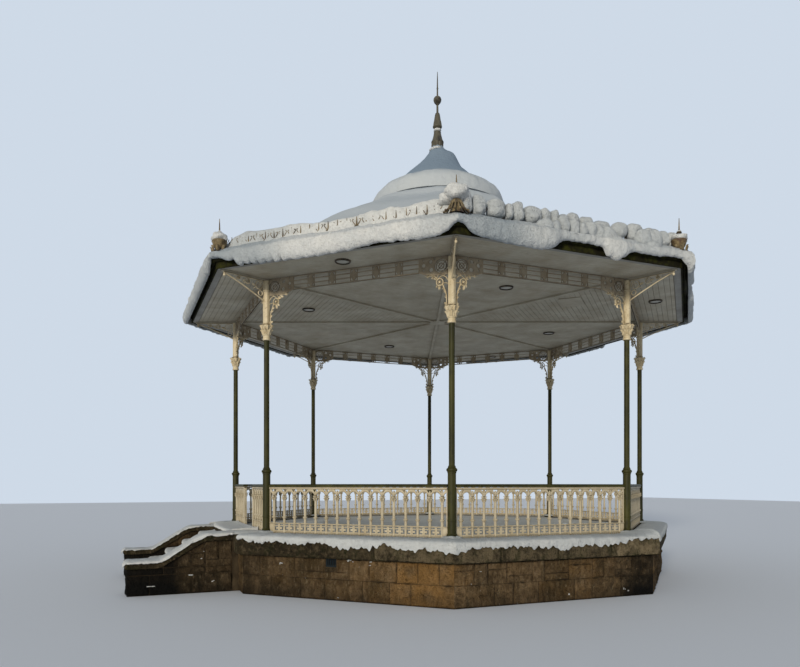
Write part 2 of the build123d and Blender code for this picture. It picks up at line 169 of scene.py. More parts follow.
def softBox(low, high, edge):  # a box with chamfered edges
    (x0, y0, z0), (x1, y1, z1) = low, high
    loops = []
    for height, inset in ((z0, edge), (z0 + edge, 0), (z1 - edge, 0), (z1, edge)):
        a, b, c, d = x0 + inset, x1 - inset, y0 + inset, y1 - inset
        loops.append([
            (a + edge, c, height), (b - edge, c, height), (b, c + edge, height), (b, d - edge, height),
            (b - edge, d, height), (a + edge, d, height), (a, d - edge, height), (a, c + edge, height),
        ])
    return lofted(loops)


# a rounded bar along a path in x and z
def barShape(path, wide, deep, closed=False, sections=6, taper=None):
    loops = []
    count = len(path)
    for step, (x, z) in enumerate(path):
        before = path[step - 1] if step or closed else path[0]
        after = path[(step + 1) % count] if step < count - 1 or closed else path[-1]
        along = Vector((after[0] - before[0], after[1] - before[1]))
        along.normalize()
        scale = taper(step / (count - 1)) if taper else 1.0
        loop = []
        for place in range(sections):
            turn = 2 * math.pi * (place + 0.5) / sections
            side = math.cos(turn) * wide / 2 * scale
            loop.append((
                x - along.y * side, math.sin(turn) * deep / 2 * (0.6 + 0.4 * scale), z + along.x * side,
            ))
        loops.append(loop)
    return lofted(loops, closed)


def smoothPath(corners, steps=4):  # a curve through the corners
    path = []
    last = len(corners) - 1
    for place in range(last):
        p0, p1, p2, p3 = (Vector(corners[min(last, max(0, place + shift))]) for shift in (-1, 0, 1, 2))
        for step in range(steps):
            t = step / steps
            point = 0.5 * (
                2 * p1 + (p2 - p0) * t + (2 * p0 - 5 * p1 + 4 * p2 - p3) * t * t
                + (3 * p1 - p0 - 3 * p2 + p3) * t ** 3
            )
            path.append((point.x, point.y))
    return path + [tuple(corners[-1])]


def arcPath(centre, radius, start, end, steps):  # angles in degrees, from +x towards +z
    turns = [math.radians(start + (end - start) * step / steps) for step in range(steps + 1)]
    return [(centre[0] + radius * math.cos(turn), centre[1] + radius * math.sin(turn)) for turn in turns]


def ringPath(centre, radius, steps):
    return arcPath(centre, radius, 0, 360 - 360 / steps, steps - 1)


def spiralPath(centre, outer, inner, start, turnsRound, steps):
    path = []
    for step in range(steps + 1):
        share = step / steps
        radius = outer + (inner - outer) * share
        turn = math.radians(start + 360 * turnsRound * share)
        path.append((centre[0] + radius * math.cos(turn), centre[1] + radius * math.sin(turn)))
    return path


def placed(name, data):  # an object of its own in the scene
    holder = bpy.data.objects.new(name, data)
    bpy.context.scene.collection.objects.link(holder)
    return holder


def platePiece(loops, thickness, edge):  # a cast plate in x and z with holes, its edges eased
    outline = bpy.data.curves.new("outline", "CURVE")
    outline.dimensions = "2D"
    outline.fill_mode = "BOTH"
    outline.extrude = thickness / 2 - edge
    outline.bevel_depth = edge
    outline.bevel_resolution = 0
    outline.offset = -edge
    for loop in loops:
        spline = outline.splines.new("POLY")
        spline.points.add(len(loop) - 1)
        for point, (x, z) in zip(spline.points, loop):
            point.co = (x, z, 0, 1)
        spline.use_cyclic_u = True
    holder = placed("outline", outline)
    depsgraph = bpy.context.evaluated_depsgraph_get()
    mesh = bpy.data.meshes.new_from_object(holder.evaluated_get(depsgraph))
    points = [(point.co.x, -point.co.z, point.co.y) for point in mesh.vertices]
    faces = [tuple(face.vertices) for face in mesh.polygons]
    bpy.data.objects.remove(holder)
    bpy.data.curves.remove(outline)
    bpy.data.meshes.remove(mesh)
    return points, faces


def lumpShape(centre, sizes, seed, power=2.4, segments=14, rings=8, roughness=0.12):  # a rounded lump
    loops = []
    for row in range(rings + 1):
        rise = math.pi * (row + 0.02) / (rings + 0.04) - math.pi / 2
        loop = []
        for place in range(segments):
            turn = 2 * math.pi * place / segments
            unit = Vector((
                math.cos(rise) * math.cos(turn), math.cos(rise) * math.sin(turn), math.sin(rise),
            ))
            reach = sum(abs(part) ** power for part in unit) ** (-1 / power)
            reach *= 1 + roughness * noise.noise(unit * 1.4 + Vector((seed, -seed, 2 * seed)))
            loop.append(
                tuple(middle + reach * part * size for middle, part, size in zip(centre, unit, sizes))
            )
        loops.append(loop)
    return lofted(loops)


def makePiece(name, shape, material, smooth=None, replaces=(), values=None):
    mesh = bpy.data.meshes.new(name)
    mesh.from_pydata([tuple(point) for point in shape[0]], [], shape[1])
    mesh.validate()
    for label, numbers in (values or {}).items():
        mesh.attributes.new(label, "FLOAT", "POINT").data.foreach_set("value", numbers)
    shell = bmesh.new()
    shell.from_mesh(mesh)
    bmesh.ops.recalc_face_normals(shell, faces=shell.faces)
    shell.to_mesh(mesh)
    shell.free()
    piece = placed(name, mesh)
    mesh.materials.append(material)
    if smooth is not None:
        mesh.polygons.foreach_set("use_smooth", [True] * len(mesh.polygons))
        mesh.set_sharp_from_angle(angle=math.radians(smooth))
    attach(piece, "root")
    if replaces:
        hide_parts(*replaces)
    print("made", name, len(mesh.polygons), "faces")
    return piece


# Materials: groups give masks, and a material lays its colours over one another by them
def newGroup(name, inputs, outputs):
    group = bpy.data.node_groups.new(name, "ShaderNodeTree")
    for label, value in inputs:
        group.interface.new_socket(
            label, in_out="INPUT", socket_type="NodeSocketFloat",
        ).default_value = value
    for label in outputs:
        group.interface.new_socket(label, in_out="OUTPUT", socket_type="NodeSocketFloat")
    return group, group.nodes.new("NodeGroupInput"), group.nodes.new("NodeGroupOutput")


def feed(tree, value, socket):  # a socket takes a number, a colour or another node's output
    if isinstance(value, (int, float)):
        socket.default_value = value
    elif isinstance(value, tuple):
        socket.default_value = (*value, 1)
    else:
        tree.links.new(value, socket)


def rangeNode(tree, value, low, high):
    ranged = tree.nodes.new("ShaderNodeMapRange")
    for given, label in ((value, "Value"), (low, "From Min"), (high, "From Max")):
        feed(tree, given, ranged.inputs[label])
    return ranged.outputs["Result"]


def mathNode(tree, operation, first, second):
    node = tree.nodes.new("ShaderNodeMath")
    node.operation = operation
    feed(tree, first, node.inputs[0])
    feed(tree, second, node.inputs[1])
    return node.outputs[0]


def makePatches():  # worn or dirty patches as a mask; a low stretch draws them out into streaks
    group, given, result = newGroup(
        "patches", [("Size", 3.0), ("Stretch", 1.0), ("Amount", 0.5), ("Soft", 0.1)], ["Mask"],
    )
    nodes, links = group.nodes, group.links
    place = nodes.new("ShaderNodeTexCoord")
    stretch = nodes.new("ShaderNodeCombineXYZ")
    stretch.inputs[0].default_value = 1
    stretch.inputs[1].default_value = 1
    links.new(given.outputs["Stretch"], stretch.inputs[2])
    scaled = nodes.new("ShaderNodeVectorMath")
    scaled.operation = "MULTIPLY"
    links.new(place.outputs["Object"], scaled.inputs[0])
    links.new(stretch.outputs[0], scaled.inputs[1])
    spots = nodes.new("ShaderNodeTexNoise")
    spots.inputs["Detail"].default_value = 6
    spots.inputs["Roughness"].default_value = 0.62
    links.new(scaled.outputs[0], spots.inputs["Vector"])
    links.new(given.outputs["Size"], spots.inputs["Scale"])
    threshold = mathNode(group, "SUBTRACT", 1.0, given.outputs["Amount"])
    low = mathNode(group, "SUBTRACT", threshold, given.outputs["Soft"])
    high = mathNode(group, "ADD", threshold, given.outputs["Soft"])
    links.new(rangeNode(group, spots.outputs["Fac"], low, high), result.inputs["Mask"])
    return group


def makeFacing():  # how far a surface faces up; the snow uses it for painted shade on its tops
    group, given, result = newGroup("facingUp", [("Start", 0.4), ("Full", 0.9)], ["Mask"])
    surface = group.nodes.new("ShaderNodeNewGeometry")
    split = group.nodes.new("ShaderNodeSeparateXYZ")
    group.links.new(surface.outputs["Normal"], split.inputs[0])
    mask = rangeNode(group, split.outputs["Z"], given.outputs["Start"], given.outputs["Full"])
    group.links.new(mask, result.inputs["Mask"])
    return group


def makeHollowShade():  # painted shade that gathers in corners and behind ornament
    group, given, result = newGroup("hollows", [("Reach", 0.05), ("Start", 0.35), ("Full", 0.85)], ["Mask"])
    shade = group.nodes.new("ShaderNodeAmbientOcclusion")
    shade.samples = 6
    group.links.new(given.outputs["Reach"], shade.inputs["Distance"])
    openness = rangeNode(group, shade.outputs["AO"], given.outputs["Start"], given.outputs["Full"])
    group.links.new(mathNode(group, "SUBTRACT", 1.0, openness), result.inputs["Mask"])
    return group


patches = makePatches()
facingUp = makeFacing()
hollows = makeHollowShade()


def placeGroup(tree, group, values):
    node = tree.nodes.new("ShaderNodeGroup")
    node.node_tree = group
    for label, value in values.items():
        node.inputs[label].default_value = value
    return node.outputs["Mask"]


def attributeNode(tree, label):
    node = tree.nodes.new("ShaderNodeAttribute")
    node.attribute_name = label
    return node.outputs["Fac"]


def mixColours(tree, first, second, mask):
    mix = tree.nodes.new("ShaderNodeMix")
    mix.data_type = "RGBA"
    for value, place in ((first, 6), (second, 7), (mask, 0)):
        feed(tree, value, mix.inputs[place])
    return mix.outputs[2]


def finishMaterial(name, colour, roughness, layers=(), bumps=(), gloss=0.5):
    # layers lie over the first colour in turn: (colour, group or attribute name, values, strength)
    material = bpy.data.materials.new(name)
    material.use_nodes = True
    tree = material.node_tree
    shader = tree.nodes["Principled BSDF"]
    for layerColour, source, values, strength in layers:
        mask = attributeNode(tree, source) if isinstance(source, str) else placeGroup(tree, source, values)
        if strength < 1:
            mask = mathNode(tree, "MULTIPLY", mask, strength)
        colour = mixColours(tree, colour, layerColour, mask)
    feed(tree, colour, shader.inputs["Base Color"])
    shader.inputs["Roughness"].default_value = roughness
    shader.inputs["Specular IOR Level"].default_value = gloss
    normal = None
    for size, strength, distance in bumps:
        bump = tree.nodes.new("ShaderNodeBump")
        bump.inputs["Strength"].default_value = strength
        bump.inputs["Distance"].default_value = distance
        tree.links.new(placeGroup(tree, patches, {"Size": size, "Soft": 0.35}), bump.inputs["Height"])
        if normal:
            tree.links.new(normal, bump.inputs["Normal"])
        normal = bump.outputs["Normal"]
    if normal:
        tree.links.new(normal, shader.inputs["Normal"])
    return material


def stain(colour, strength, size, amount, soft=0.1, stretch=1.0):  # a layer in patches
    return colour, patches, {"Size": size, "Stretch": stretch, "Amount": amount, "Soft": soft}, strength


def shadeInHollows(colour, strength, reach, start, full):  # a layer of painted shade in the hollows
    return colour, hollows, {"Reach": reach, "Start": start, "Full": full}, strength


snow = finishMaterial(
    "snow", (0.9, 0.895, 0.86), 0.8,
    [
        # painted shade: the snow is darker and bluer where it faces up
        ((0.5, 0.54, 0.57), facingUp, {"Start": 0.55, "Full": 0.92}, 0.75),
        stain((0.66, 0.69, 0.7), 0.7, 2.2, 0.5, 0.2),
        stain((0.6, 0.59, 0.55), 0.35, 22.0, 0.42, 0.08),
        # painted shade in the hollows
        shadeInHollows((0.34, 0.35, 0.36), 0.45, 0.05, 0.35, 0.95),
        # painted shade: bluish where the shade attribute is set
        ((0.24, 0.3, 0.35), "shade", {}, 0.92),
    ],
    [(11.0, 0.8, 0.05), (36.0, 0.85, 0.026), (90.0, 0.8, 0.009)], gloss=0.2,
)
# painted shade: a darker, bluer copy of the snow, for the snow on the roofs
shadedRoofSnow = finishMaterial(
    "shadedRoofSnow", (0.5, 0.53, 0.54), 0.8,
    [
        # painted shade: darker and bluer where it faces up
        ((0.34, 0.385, 0.42), facingUp, {"Start": 0.5, "Full": 0.9}, 0.7),
        stain((0.46, 0.5, 0.54), 0.6, 1.6, 0.5, 0.2),
        # painted shade: bluish where the shade attribute is set
        ((0.16, 0.22, 0.29), "shade", {}, 0.9),
    ],
    [(6.0, 0.6, 0.04), (40.0, 0.6, 0.012)], gloss=0.2,
)
creamPaint = finishMaterial(
    "creamPaint", (0.56, 0.49, 0.35), 0.5,
    [
        stain((0.42, 0.35, 0.23), 0.8, 7.0, 0.5, 0.15, 0.5),
        stain((0.24, 0.16, 0.08), 0.7, 24.0, 0.36, 0.06),
        # painted shade in the hollows
        shadeInHollows((0.13, 0.1, 0.055), 0.85, 0.06, 0.3, 0.9),
    ],
    [(60.0, 0.3, 0.003)], gloss=0.3,
)
# painted light: a lighter, golder copy of the cream paint, for the sunlit column heads
litCreamPaint = finishMaterial(
    "litCreamPaint", (0.68, 0.58, 0.39), 0.45,
    [
        stain((0.5, 0.39, 0.22), 0.7, 9.0, 0.5, 0.12, 0.6),
        stain((0.2, 0.12, 0.05), 0.7, 26.0, 0.36, 0.06),
        # painted shade in the hollows
        shadeInHollows((0.12, 0.08, 0.04), 0.85, 0.05, 0.3, 0.9),
    ],
    [(60.0, 0.3, 0.003)], gloss=0.3,
)
greenPaint = finishMaterial(
    "greenPaint", (0.026, 0.025, 0.005), 0.55,
    [
        stain((0.075, 0.07, 0.014), 0.75, 3.5, 0.44, 0.14, 0.3),
        stain((0.014, 0.013, 0.004), 0.7, 12.0, 0.42, 0.08, 0.4),
        stain((0.07, 0.032, 0.012), 0.6, 30.0, 0.3, 0.05),
    ],
    [(45.0, 0.3, 0.003)], gloss=0.2,
)
mossPaint = finishMaterial(
    "mossPaint", (0.012, 0.011, 0.004), 0.8,
    [
        stain((0.035, 0.036, 0.006), 0.9, 9.0, 0.46, 0.08),
        stain((0.006, 0.005, 0.003), 0.8, 5.0, 0.42, 0.1, 0.3),
    ],
    [(45.0, 0.8, 0.01)], gloss=0.1,
)
darkIron = finishMaterial(
    "darkIron", (0.04, 0.032, 0.023), 0.55,
    [stain((0.14, 0.1, 0.06), 0.8, 14.0, 0.44, 0.12), stain((0.012, 0.01, 0.008), 0.9, 6.0, 0.4, 0.1)],
    [(60.0, 0.4, 0.004)], gloss=0.3,
)
finialIron = finishMaterial(
    "finialIron", (0.085, 0.075, 0.05), 0.55,
    [
        stain((0.014, 0.012, 0.01), 0.9, 7.0, 0.42, 0.08, 0.5),
        # painted shade: near black in the hollows and under the rings
        shadeInHollows((0.004, 0.004, 0.004), 0.95, 0.12, 0.15, 0.6),
        stain((0.12, 0.1, 0.07), 0.6, 22.0, 0.4, 0.08),
    ],
    [(50.0, 0.4, 0.004)], gloss=0.3,
)
boardPaint = finishMaterial(
    "boardPaint", (0.56, 0.53, 0.43), 0.6,
    [
        stain((0.4, 0.37, 0.29), 0.85, 1.1, 0.5, 0.16),
        stain((0.3, 0.23, 0.14), 0.6, 2.2, 0.46, 0.16, 0.5),
        # painted shade in the hollows
        shadeInHollows((0.2, 0.16, 0.11), 0.6, 0.35, 0.2, 0.9),
    ],
    [(40.0, 0.15, 0.002)], gloss=0.3,
)
# painted shade: the cream frieze is darkened to a brown, standing for its paint in the eaves' shade
shadedFriezePaint = finishMaterial(
    "shadedFriezePaint", (0.36, 0.3, 0.21), 0.55,
    # painted shade in the hollows, after the stain
    [stain((0.22, 0.165, 0.1), 0.8, 4.0, 0.46, 0.14), shadeInHollows((0.07, 0.05, 0.03), 0.9, 0.06, 0.2, 0.8)],
    [(60.0, 0.3, 0.003)], gloss=0.3,
)
borderPaint = finishMaterial(
    "borderPaint", (0.33, 0.325, 0.3), 0.6, [stain((0.2, 0.19, 0.16), 0.8, 2.0, 0.46, 0.14)],
    [(40.0, 0.15, 0.002)], gloss=0.3,
)
wallStone = finishMaterial(
    "wallStone", (0.03, 0.0215, 0.0125), 0.92,
    [
        ((0.33, 0.222, 0.117), "tone", {}, 1.0),
        stain((0.095, 0.065, 0.036), 0.55, 2.4, 0.5, 0.16),
        stain((0.3, 0.21, 0.12), 0.6, 6.0, 0.44, 0.12),
        stain((0.033, 0.028, 0.014), 0.8, 4.0, 0.45, 0.12, 0.3),
        stain((0.05, 0.034, 0.018), 0.7, 13.0, 0.46, 0.1, 0.6),
        stain((0.4, 0.31, 0.19), 0.5, 19.0, 0.36, 0.08, 0.5),
        ((0.42, 0.225, 0.068), "warmth", {}, 0.62),
        # soot, with painted shade at the far end of the stair's side walls, and darker towards the bottom
        ((0.007, 0.0065, 0.0055), "soot", {}, 1.0),
        # painted shade in the hollows
        shadeInHollows((0.01, 0.008, 0.005), 0.9, 0.045, 0.25, 0.85),
    ],
    [(7.0, 1.0, 0.16), (22.0, 1.0, 0.08)], gloss=0.1,
)
mortar = finishMaterial(
    "mortar", (0.075, 0.054, 0.031), 0.95, [stain((0.015, 0.011, 0.007), 0.9, 4.0, 0.5, 0.15)],
    [(50.0, 0.6, 0.01)], gloss=0.1,
)
copingStone = finishMaterial(
    "copingStone", (0.05, 0.038, 0.021), 0.92,
    [
        ((0.3, 0.235, 0.14), "warmth", {}, 1.0),
        stain((0.02, 0.016, 0.009), 0.85, 5.0, 0.46, 0.1),
        stain((0.026, 0.03, 0.01), 0.75, 8.0, 0.42, 0.1, 0.6),
        stain((0.16, 0.12, 0.07), 0.6, 14.0, 0.42, 0.08),
        stain((0.01, 0.009, 0.005), 0.6, 26.0, 0.4, 0.06),
        # painted shade in the hollows
        shadeInHollows((0.01, 0.009, 0.006), 0.8, 0.04, 0.3, 0.9),
    ],
    [(10.0, 1.0, 0.08), (34.0, 1.0, 0.04)], gloss=0.1,
)
ventIron = finishMaterial("ventIron", (0.016, 0.022, 0.026), 0.8, gloss=0.1)
paving = finishMaterial(
    "paving", (0.56, 0.57, 0.55), 0.85,
    # painted shade in the hollows, after the stain
    [stain((0.4, 0.41, 0.4), 0.8, 1.8, 0.46, 0.16), shadeInHollows((0.1, 0.095, 0.085), 0.8, 0.05, 0.3, 0.8)],
    [(40.0, 0.3, 0.006)], gloss=0.3,
)
roofSheet = finishMaterial(
    "roofSheet", (0.09, 0.1, 0.095), 0.6, [stain((0.035, 0.04, 0.035), 0.9, 2.0, 0.46, 0.14)],
    [(30.0, 0.3, 0.004)],
)
lampGlass = finishMaterial(
    "lampGlass", (0.46, 0.45, 0.39), 0.35, [stain((0.34, 0.33, 0.28), 0.7, 9.0, 0.42, 0.2)],
)
ornamentPaint = finishMaterial(
    "ornamentPaint", (0.24, 0.18, 0.09), 0.5,
    [
        stain((0.035, 0.024, 0.013), 0.9, 10.0, 0.5, 0.1),
        stain((0.16, 0.06, 0.045), 0.5, 5.0, 0.36, 0.1),
        # painted shade in the hollows
        shadeInHollows((0.012, 0.009, 0.006), 0.9, 0.05, 0.3, 0.9),
    ],
    [(60.0, 0.3, 0.003)], gloss=0.3,
)

slotMaterials = {
    "plinth_stone": mortar,
    "coping_stone": copingStone,
    "paving": paving,
    "green_iron": greenPaint,
    "cream_iron": creamPaint,
    "cream_boards": boardPaint,
    "lamp_glass": lampGlass,
    "roof_metal": roofSheet,
    "dark_iron": darkIron,
}
for part in frame["record"]["subparts"]:
    node = frame["nodes"][part["node"]]
    node.data.materials.clear()
    node.data.materials.append(slotMaterials[part["material_slot"]])
for name in ("fascia", "gutter"):
    frame["nodes"][name].data.materials[0] = mossPaint
frame["nodes"]["vent_grille"].data.materials[0] = ventIron
print("materials on", len(frame["nodes"]), "nodes")

column = {
    "segments": 32, "baseHalf": 0.095, "baseHigh": 0.05,
    "rings": (
        (0.085, 0.05), (0.093, 0.058), (0.093, 0.07), (0.085, 0.078), (0.078, 0.084), (0.083, 0.094),
        (0.078, 0.104), (0.068, 0.112), (0.068, 0.3), (0.073, 0.305), (0.073, 0.325), (0.068, 0.33),
        (0.066, 1.06), (0.072, 1.068), (0.072, 1.085), (0.085, 1.1), (0.088, 1.11), (0.085, 1.131),
        (0.07, 1.142), (0.062, 1.15), (0.064, 1.162), (0.055, 1.178), (0.049, 1.19), (0.047, 3.424),
    ),
}
baseHalf = column["baseHalf"]
baseShape = softBox((-baseHalf, -baseHalf, 0), (baseHalf, baseHalf, column["baseHigh"]), 0.006)
shaftShape = turnedShape(column["rings"], column["segments"])
for number in sideNumbers:
    shape = moved(joined([baseShape, shaftShape]), radialMatrix(number, plan["platform"]))
    makePiece(f"shaft_{number}", shape, greenPaint, 35, (f"column_{number}",))

head = {
    "postTop": 1.05, "deep": 0.03, "ring": (0.2, 0.668), "ringRadius": 0.056,
    "core": (
        (0.06, 0), (0.07, 0.008), (0.07, 0.03), (0.064, 0.036), (0.061, 0.078), (0.07, 0.086), (0.07, 0.1),
        (0.063, 0.106), (0.066, 0.15), (0.075, 0.2), (0.09, 0.232), (0.1, 0.24), (0.103, 0.252),
        (0.1, 0.264), (0.08, 0.27), (0.063, 0.282),
    ),
    # the post's parts: (rings, segments, first turn)
    "post": (
        (((0.063, 0.27), (0.063, 1.05)), 8, halfTurn),
        (((0.066, 0.285), (0.073, 0.29), (0.073, 0.298), (0.066, 0.303)), 16),
        (((0.064, 0.86), (0.07, 0.866), (0.07, 0.88), (0.064, 0.886)), 16),
    ),
    # rows of leaves: (count, radius, height, reach, length, width, droop, offset)
    "leafRows": (
        (8, 0.063, 0.105, 0.058, 0.105, 0.052), (8, 0.064, 0.11, 0.07, 0.19, 0.06, 0.9, 0.5),
        (8, 0.068, 0.2, 0.055, 0.1, 0.036, 1.1, 0.25),
    ),
    # bars of a side bracket: (path, width, share of the depth, sections, size at the start, loss of it)
    "bars": (
        (
            (
                (0.07, 0.27), (0.083, 0.31), (0.082, 0.38), (0.087, 0.45), (0.108, 0.52), (0.134, 0.585),
                (0.152, 0.635),
            ),
            0.022, 1, 8,
        ),
        (((0.15, 0.645), (0.12, 0.65), (0.085, 0.647), (0.06, 0.628)), 0.014, 0.8),
        (
            (
                (0.235, 0.715), (0.212, 0.733), (0.18, 0.757), (0.148, 0.766), (0.115, 0.756),
                (0.089, 0.733), (0.068, 0.705), (0.057, 0.69),
            ),
            0.019, 1, 8,
        ),
        (
            (
                (0.25, 0.745), (0.225, 0.79), (0.197, 0.825), (0.165, 0.845), (0.13, 0.843), (0.108, 0.82),
                (0.108, 0.792), (0.125, 0.776),
            ),
            0.017, 0.9, 6, 1.1, 0.4,
        ),
        (
            ((0.232, 0.712), (0.258, 0.742), (0.29, 0.768), (0.335, 0.78), (0.4, 0.786), (0.455, 0.79)),
            0.022, 1, 6, 1.1, 0.65,
        ),
        (((0.29, 0.768), (0.31, 0.8), (0.345, 0.815), (0.37, 0.8), (0.355, 0.782)), 0.012, 0.8),
    ),
    "eye": ((0.004, -0.022), (0.016, -0.018), (0.021, 0), (0.016, 0.018), (0.004, 0.022)),
    # leaves of a side bracket: (x, z, degrees, length)
    "bracketLeaves": (
        (0.215, 0.612, 262, 0.07), (0.24, 0.63, 300, 0.05), (0.085, 0.4, 60, 0.055),
        (0.095, 0.49, 50, 0.06), (0.12, 0.55, 30, 0.05), (0.25, 0.72, 20, 0.06), (0.29, 0.77, 75, 0.06),
        (0.3, 0.775, 35, 0.07), (0.3, 0.765, 330, 0.055), (0.15, 0.77, 100, 0.05), (0.39, 0.787, 40, 0.045),
        (0.39, 0.783, 335, 0.04), (0.07, 0.3, 35, 0.07),
    ),
}


# a cast leaf that rises from x=0 and curls outward
def leafShape(reach, height, width, droop=1.0, steps=8):
    loops = []
    for step in range(steps + 1):
        share = step / steps
        out = reach * share ** 1.8
        up = height * (share - droop * max(0, share - 0.72) ** 2 * 3.2)
        lobes = 1 + 0.16 * math.sin(math.pi * 5 * share)
        half = width / 2 * math.sin(math.pi * (0.2 + 0.78 * share)) ** 0.7 * lobes + 0.002
        thick = 0.012 * (1 - 0.45 * share)
        loops.append([
            (out + thick * away, half * across, up + thick * rise)
            for away, across, rise in (
                (-0.9, -1, 0.3), (0.2, -0.5, -0.4), (1.3, 0, -1), (0.2, 0.5, -0.4), (-0.9, 1, 0.3),
                (-0.9, 0, 0),
            )
        ])
    return lofted(loops)


def leafCrown(count, radius, height, reach, tall, width, droop=1.0, offset=0.0, steps=8):
    shapes = []
    for place in range(count):
        turn = Matrix.Rotation(2 * math.pi * (place + offset) / count, 4, "Z")
        leaf = leafShape(reach, tall, width, droop, steps)
        shapes.append(moved(leaf, turn @ Matrix.Translation((radius, 0, height))))
    return shapes


def leafCrowns(rows):
    return [leaf for row in rows for leaf in leafCrown(*row)]


def leanedLeaf(x, z, degrees, size):  # a leaf in the plane of a bracket; degrees from +x towards +z
    lean = Matrix.Rotation(math.radians(90 - degrees), 4, "Y")
    matrix = Matrix.Translation((x, 0, z)) @ lean @ Matrix.Rotation(math.pi / 2, 4, "Z")
    return moved(leafShape(size * 0.28, size, size * 0.55, 0.5, 6), matrix)


def bracketBar(path, wide, deepShare, sections=6, start=1.0, loss=0.0):
    deep = head["deep"] * deepShare
    return barShape(
        smoothPath(path), wide, deep, sections=sections, taper=lambda share: start - loss * share,
    )


def sideBracket():  # in the plane of a side, heights over the capital's foot
    x, z = head["ring"]
    radius, deep = head["ringRadius"], head["deep"]
    spiral = spiralPath((x, z), radius * 0.72, 0.012, 215, 1.35, 30)
    shapes = [
        bracketBar(*head["bars"][0]),
        barShape(ringPath((x, z), radius, 28), 0.02, deep, closed=True, sections=8),
        barShape(spiral, 0.014, deep * 0.8, taper=lambda share: 1 - 0.3 * share),
    ]
    shapes += [bracketBar(*bar) for bar in head["bars"][1:]]
    eye = turnedShape(head["eye"], 12)
    shapes.append(moved(eye, Matrix.Translation((x, 0, z)) @ Matrix.Rotation(math.pi / 2, 4, "X")))
    shapes += [leanedLeaf(*place) for place in head["bracketLeaves"]]
    return joined(shapes)


eavesArm = {
    "deep": 0.024, "reach": 0.86,
    # (distance out, drop below the post's top, radius)
    "scrolls": ((0.16, 0.096, 0.078), (0.389, 0.072, 0.054), (0.563, 0.05, 0.034)),
    "ring": (0.13, 0.232, 0.042),
    "edge": ((0.058, 0.355), (0.2, 0.285), (0.4, 0.195), (0.6, 0.11), (0.86, 0.016)),
    "knobPlace": (0.84, 0.012),
    "knob": (
        (0.005, -0.07), (0.016, -0.062), (0.022, -0.046), (0.019, -0.03), (0.008, -0.022), (0.014, -0.012),
        (0.014, 0.0),
    ),
}


def eavesBracket():  # outward from the post, heights over the capital's foot
    top, deep = head["postTop"], eavesArm["deep"]
    shapes = [
        barShape(smoothPath([(x, top - drop) for x, drop in eavesArm["edge"]]), 0.022, deep),
        barShape([(0.05, top - 0.008), (eavesArm["reach"], top - 0.008)], 0.016, deep),
    ]
    for x, drop, radius in eavesArm["scrolls"]:
        centre = (x, top - drop)
        spiral = spiralPath(centre, radius * 0.62, radius * 0.18, 90, 1.3, 26)
        tail = [(x + radius * out, top - drop - radius * down) for out, down in ((0.75, 0.5), (1.4, 0.95))]
        shapes.append(barShape(ringPath(centre, radius - 0.008, 26), 0.015, deep, closed=True))
        shapes.append(barShape(spiral, 0.01, deep * 0.8))
        shapes.append(barShape(tail, 0.012, deep * 0.8))
        shapes.append(leanedLeaf(x + radius * 1.1, top - drop - radius * 0.2, 20, radius * 0.9))
    x, drop, radius = eavesArm["ring"]
    shapes.append(barShape(ringPath((x, top - drop), radius, 18), 0.013, deep, closed=True))
    x, drop = eavesArm["knobPlace"]
    shapes.append(moved(turnedShape(eavesArm["knob"], 12), Matrix.Translation((x, 0, top - drop))))
    return joined(shapes)


postShape = joined([turnedShape(*part) for part in head["post"]])
capital = joined([turnedShape(head["core"], 28)] + leafCrowns(head["leafRows"]))
bracket = sideBracket()
eavesShape = eavesBracket()
for number in sideNumbers:
    shapes = [moved(joined([capital, postShape]), radialMatrix(number, plan["capitalFoot"]))]
    for hand in (-1, 1):
        shapes.append(moved(bracket, armMatrix(number, hand, plan["capitalFoot"])))
    shapes.append(moved(eavesShape, radialMatrix(number, plan["capitalFoot"])))
    makePiece(f"head_{number}", joined(shapes), litCreamPaint, 42, (f"column_head_{number}",))

# The balustrade's heights are over the platform
fence = {
    "sideLength": 2 * plan["columnCircle"] * math.sin(halfTurn),
    "balusters": 16, "inset": 0.16, "reach": 0.0683, "thick": 0.02, "edge": 0.003, "margin": 0.012,
    "archHalf": 0.079, "archCrown": 0.76, "archWidth": 0.02, "railTop": 0.836,
    "bandTop": 0.214, "foot": 0.014, "opening": 0.46, "endPost": 0.078,
    "pier": 0.022,  # behind a baluster the plate is only a narrow strip
    # openings of the lower band, from the middle of a bay
    "dash": ((0.02, 0.172), (0.08, 0.172), (0.08, 0.192), (0.02, 0.192)),
    "hook": (
        (0.022, 0.084), (0.084, 0.084), (0.084, 0.156), (0.022, 0.156), (0.022, 0.137), (0.06, 0.137),
        (0.06, 0.103), (0.022, 0.103),
    ),
    "teeth": (-0.066, -0.022, 0.022, 0.066),
    "tooth": ((-0.015, 0.022), (0.015, 0.022), (0.015, 0.036), (0.0, 0.047), (-0.015, 0.036)),
    "halfArch": (0.078, 0.07, 0.06, 0.046, 0.033), "halfArchFoot": 0.082,  # distances from its middle
    "rails": ((0.055, 0.07, 0.018), (0.2, 0.216, 0.022), (0.806, 0.836, 0.026)),  # (foot, top, half depth)
    "leafRows": (
        (6, 0.018, 0.615, 0.034, 0.05, 0.034, 1.0, 0.5, 4),
        (6, 0.018, 0.635, 0.036, 0.072, 0.04, 1.0, 0.0, 4),
    ),
}
fence["pitch"] = (fence["sideLength"] - 2 * fence["inset"]) / (fence["balusters"] - 1)
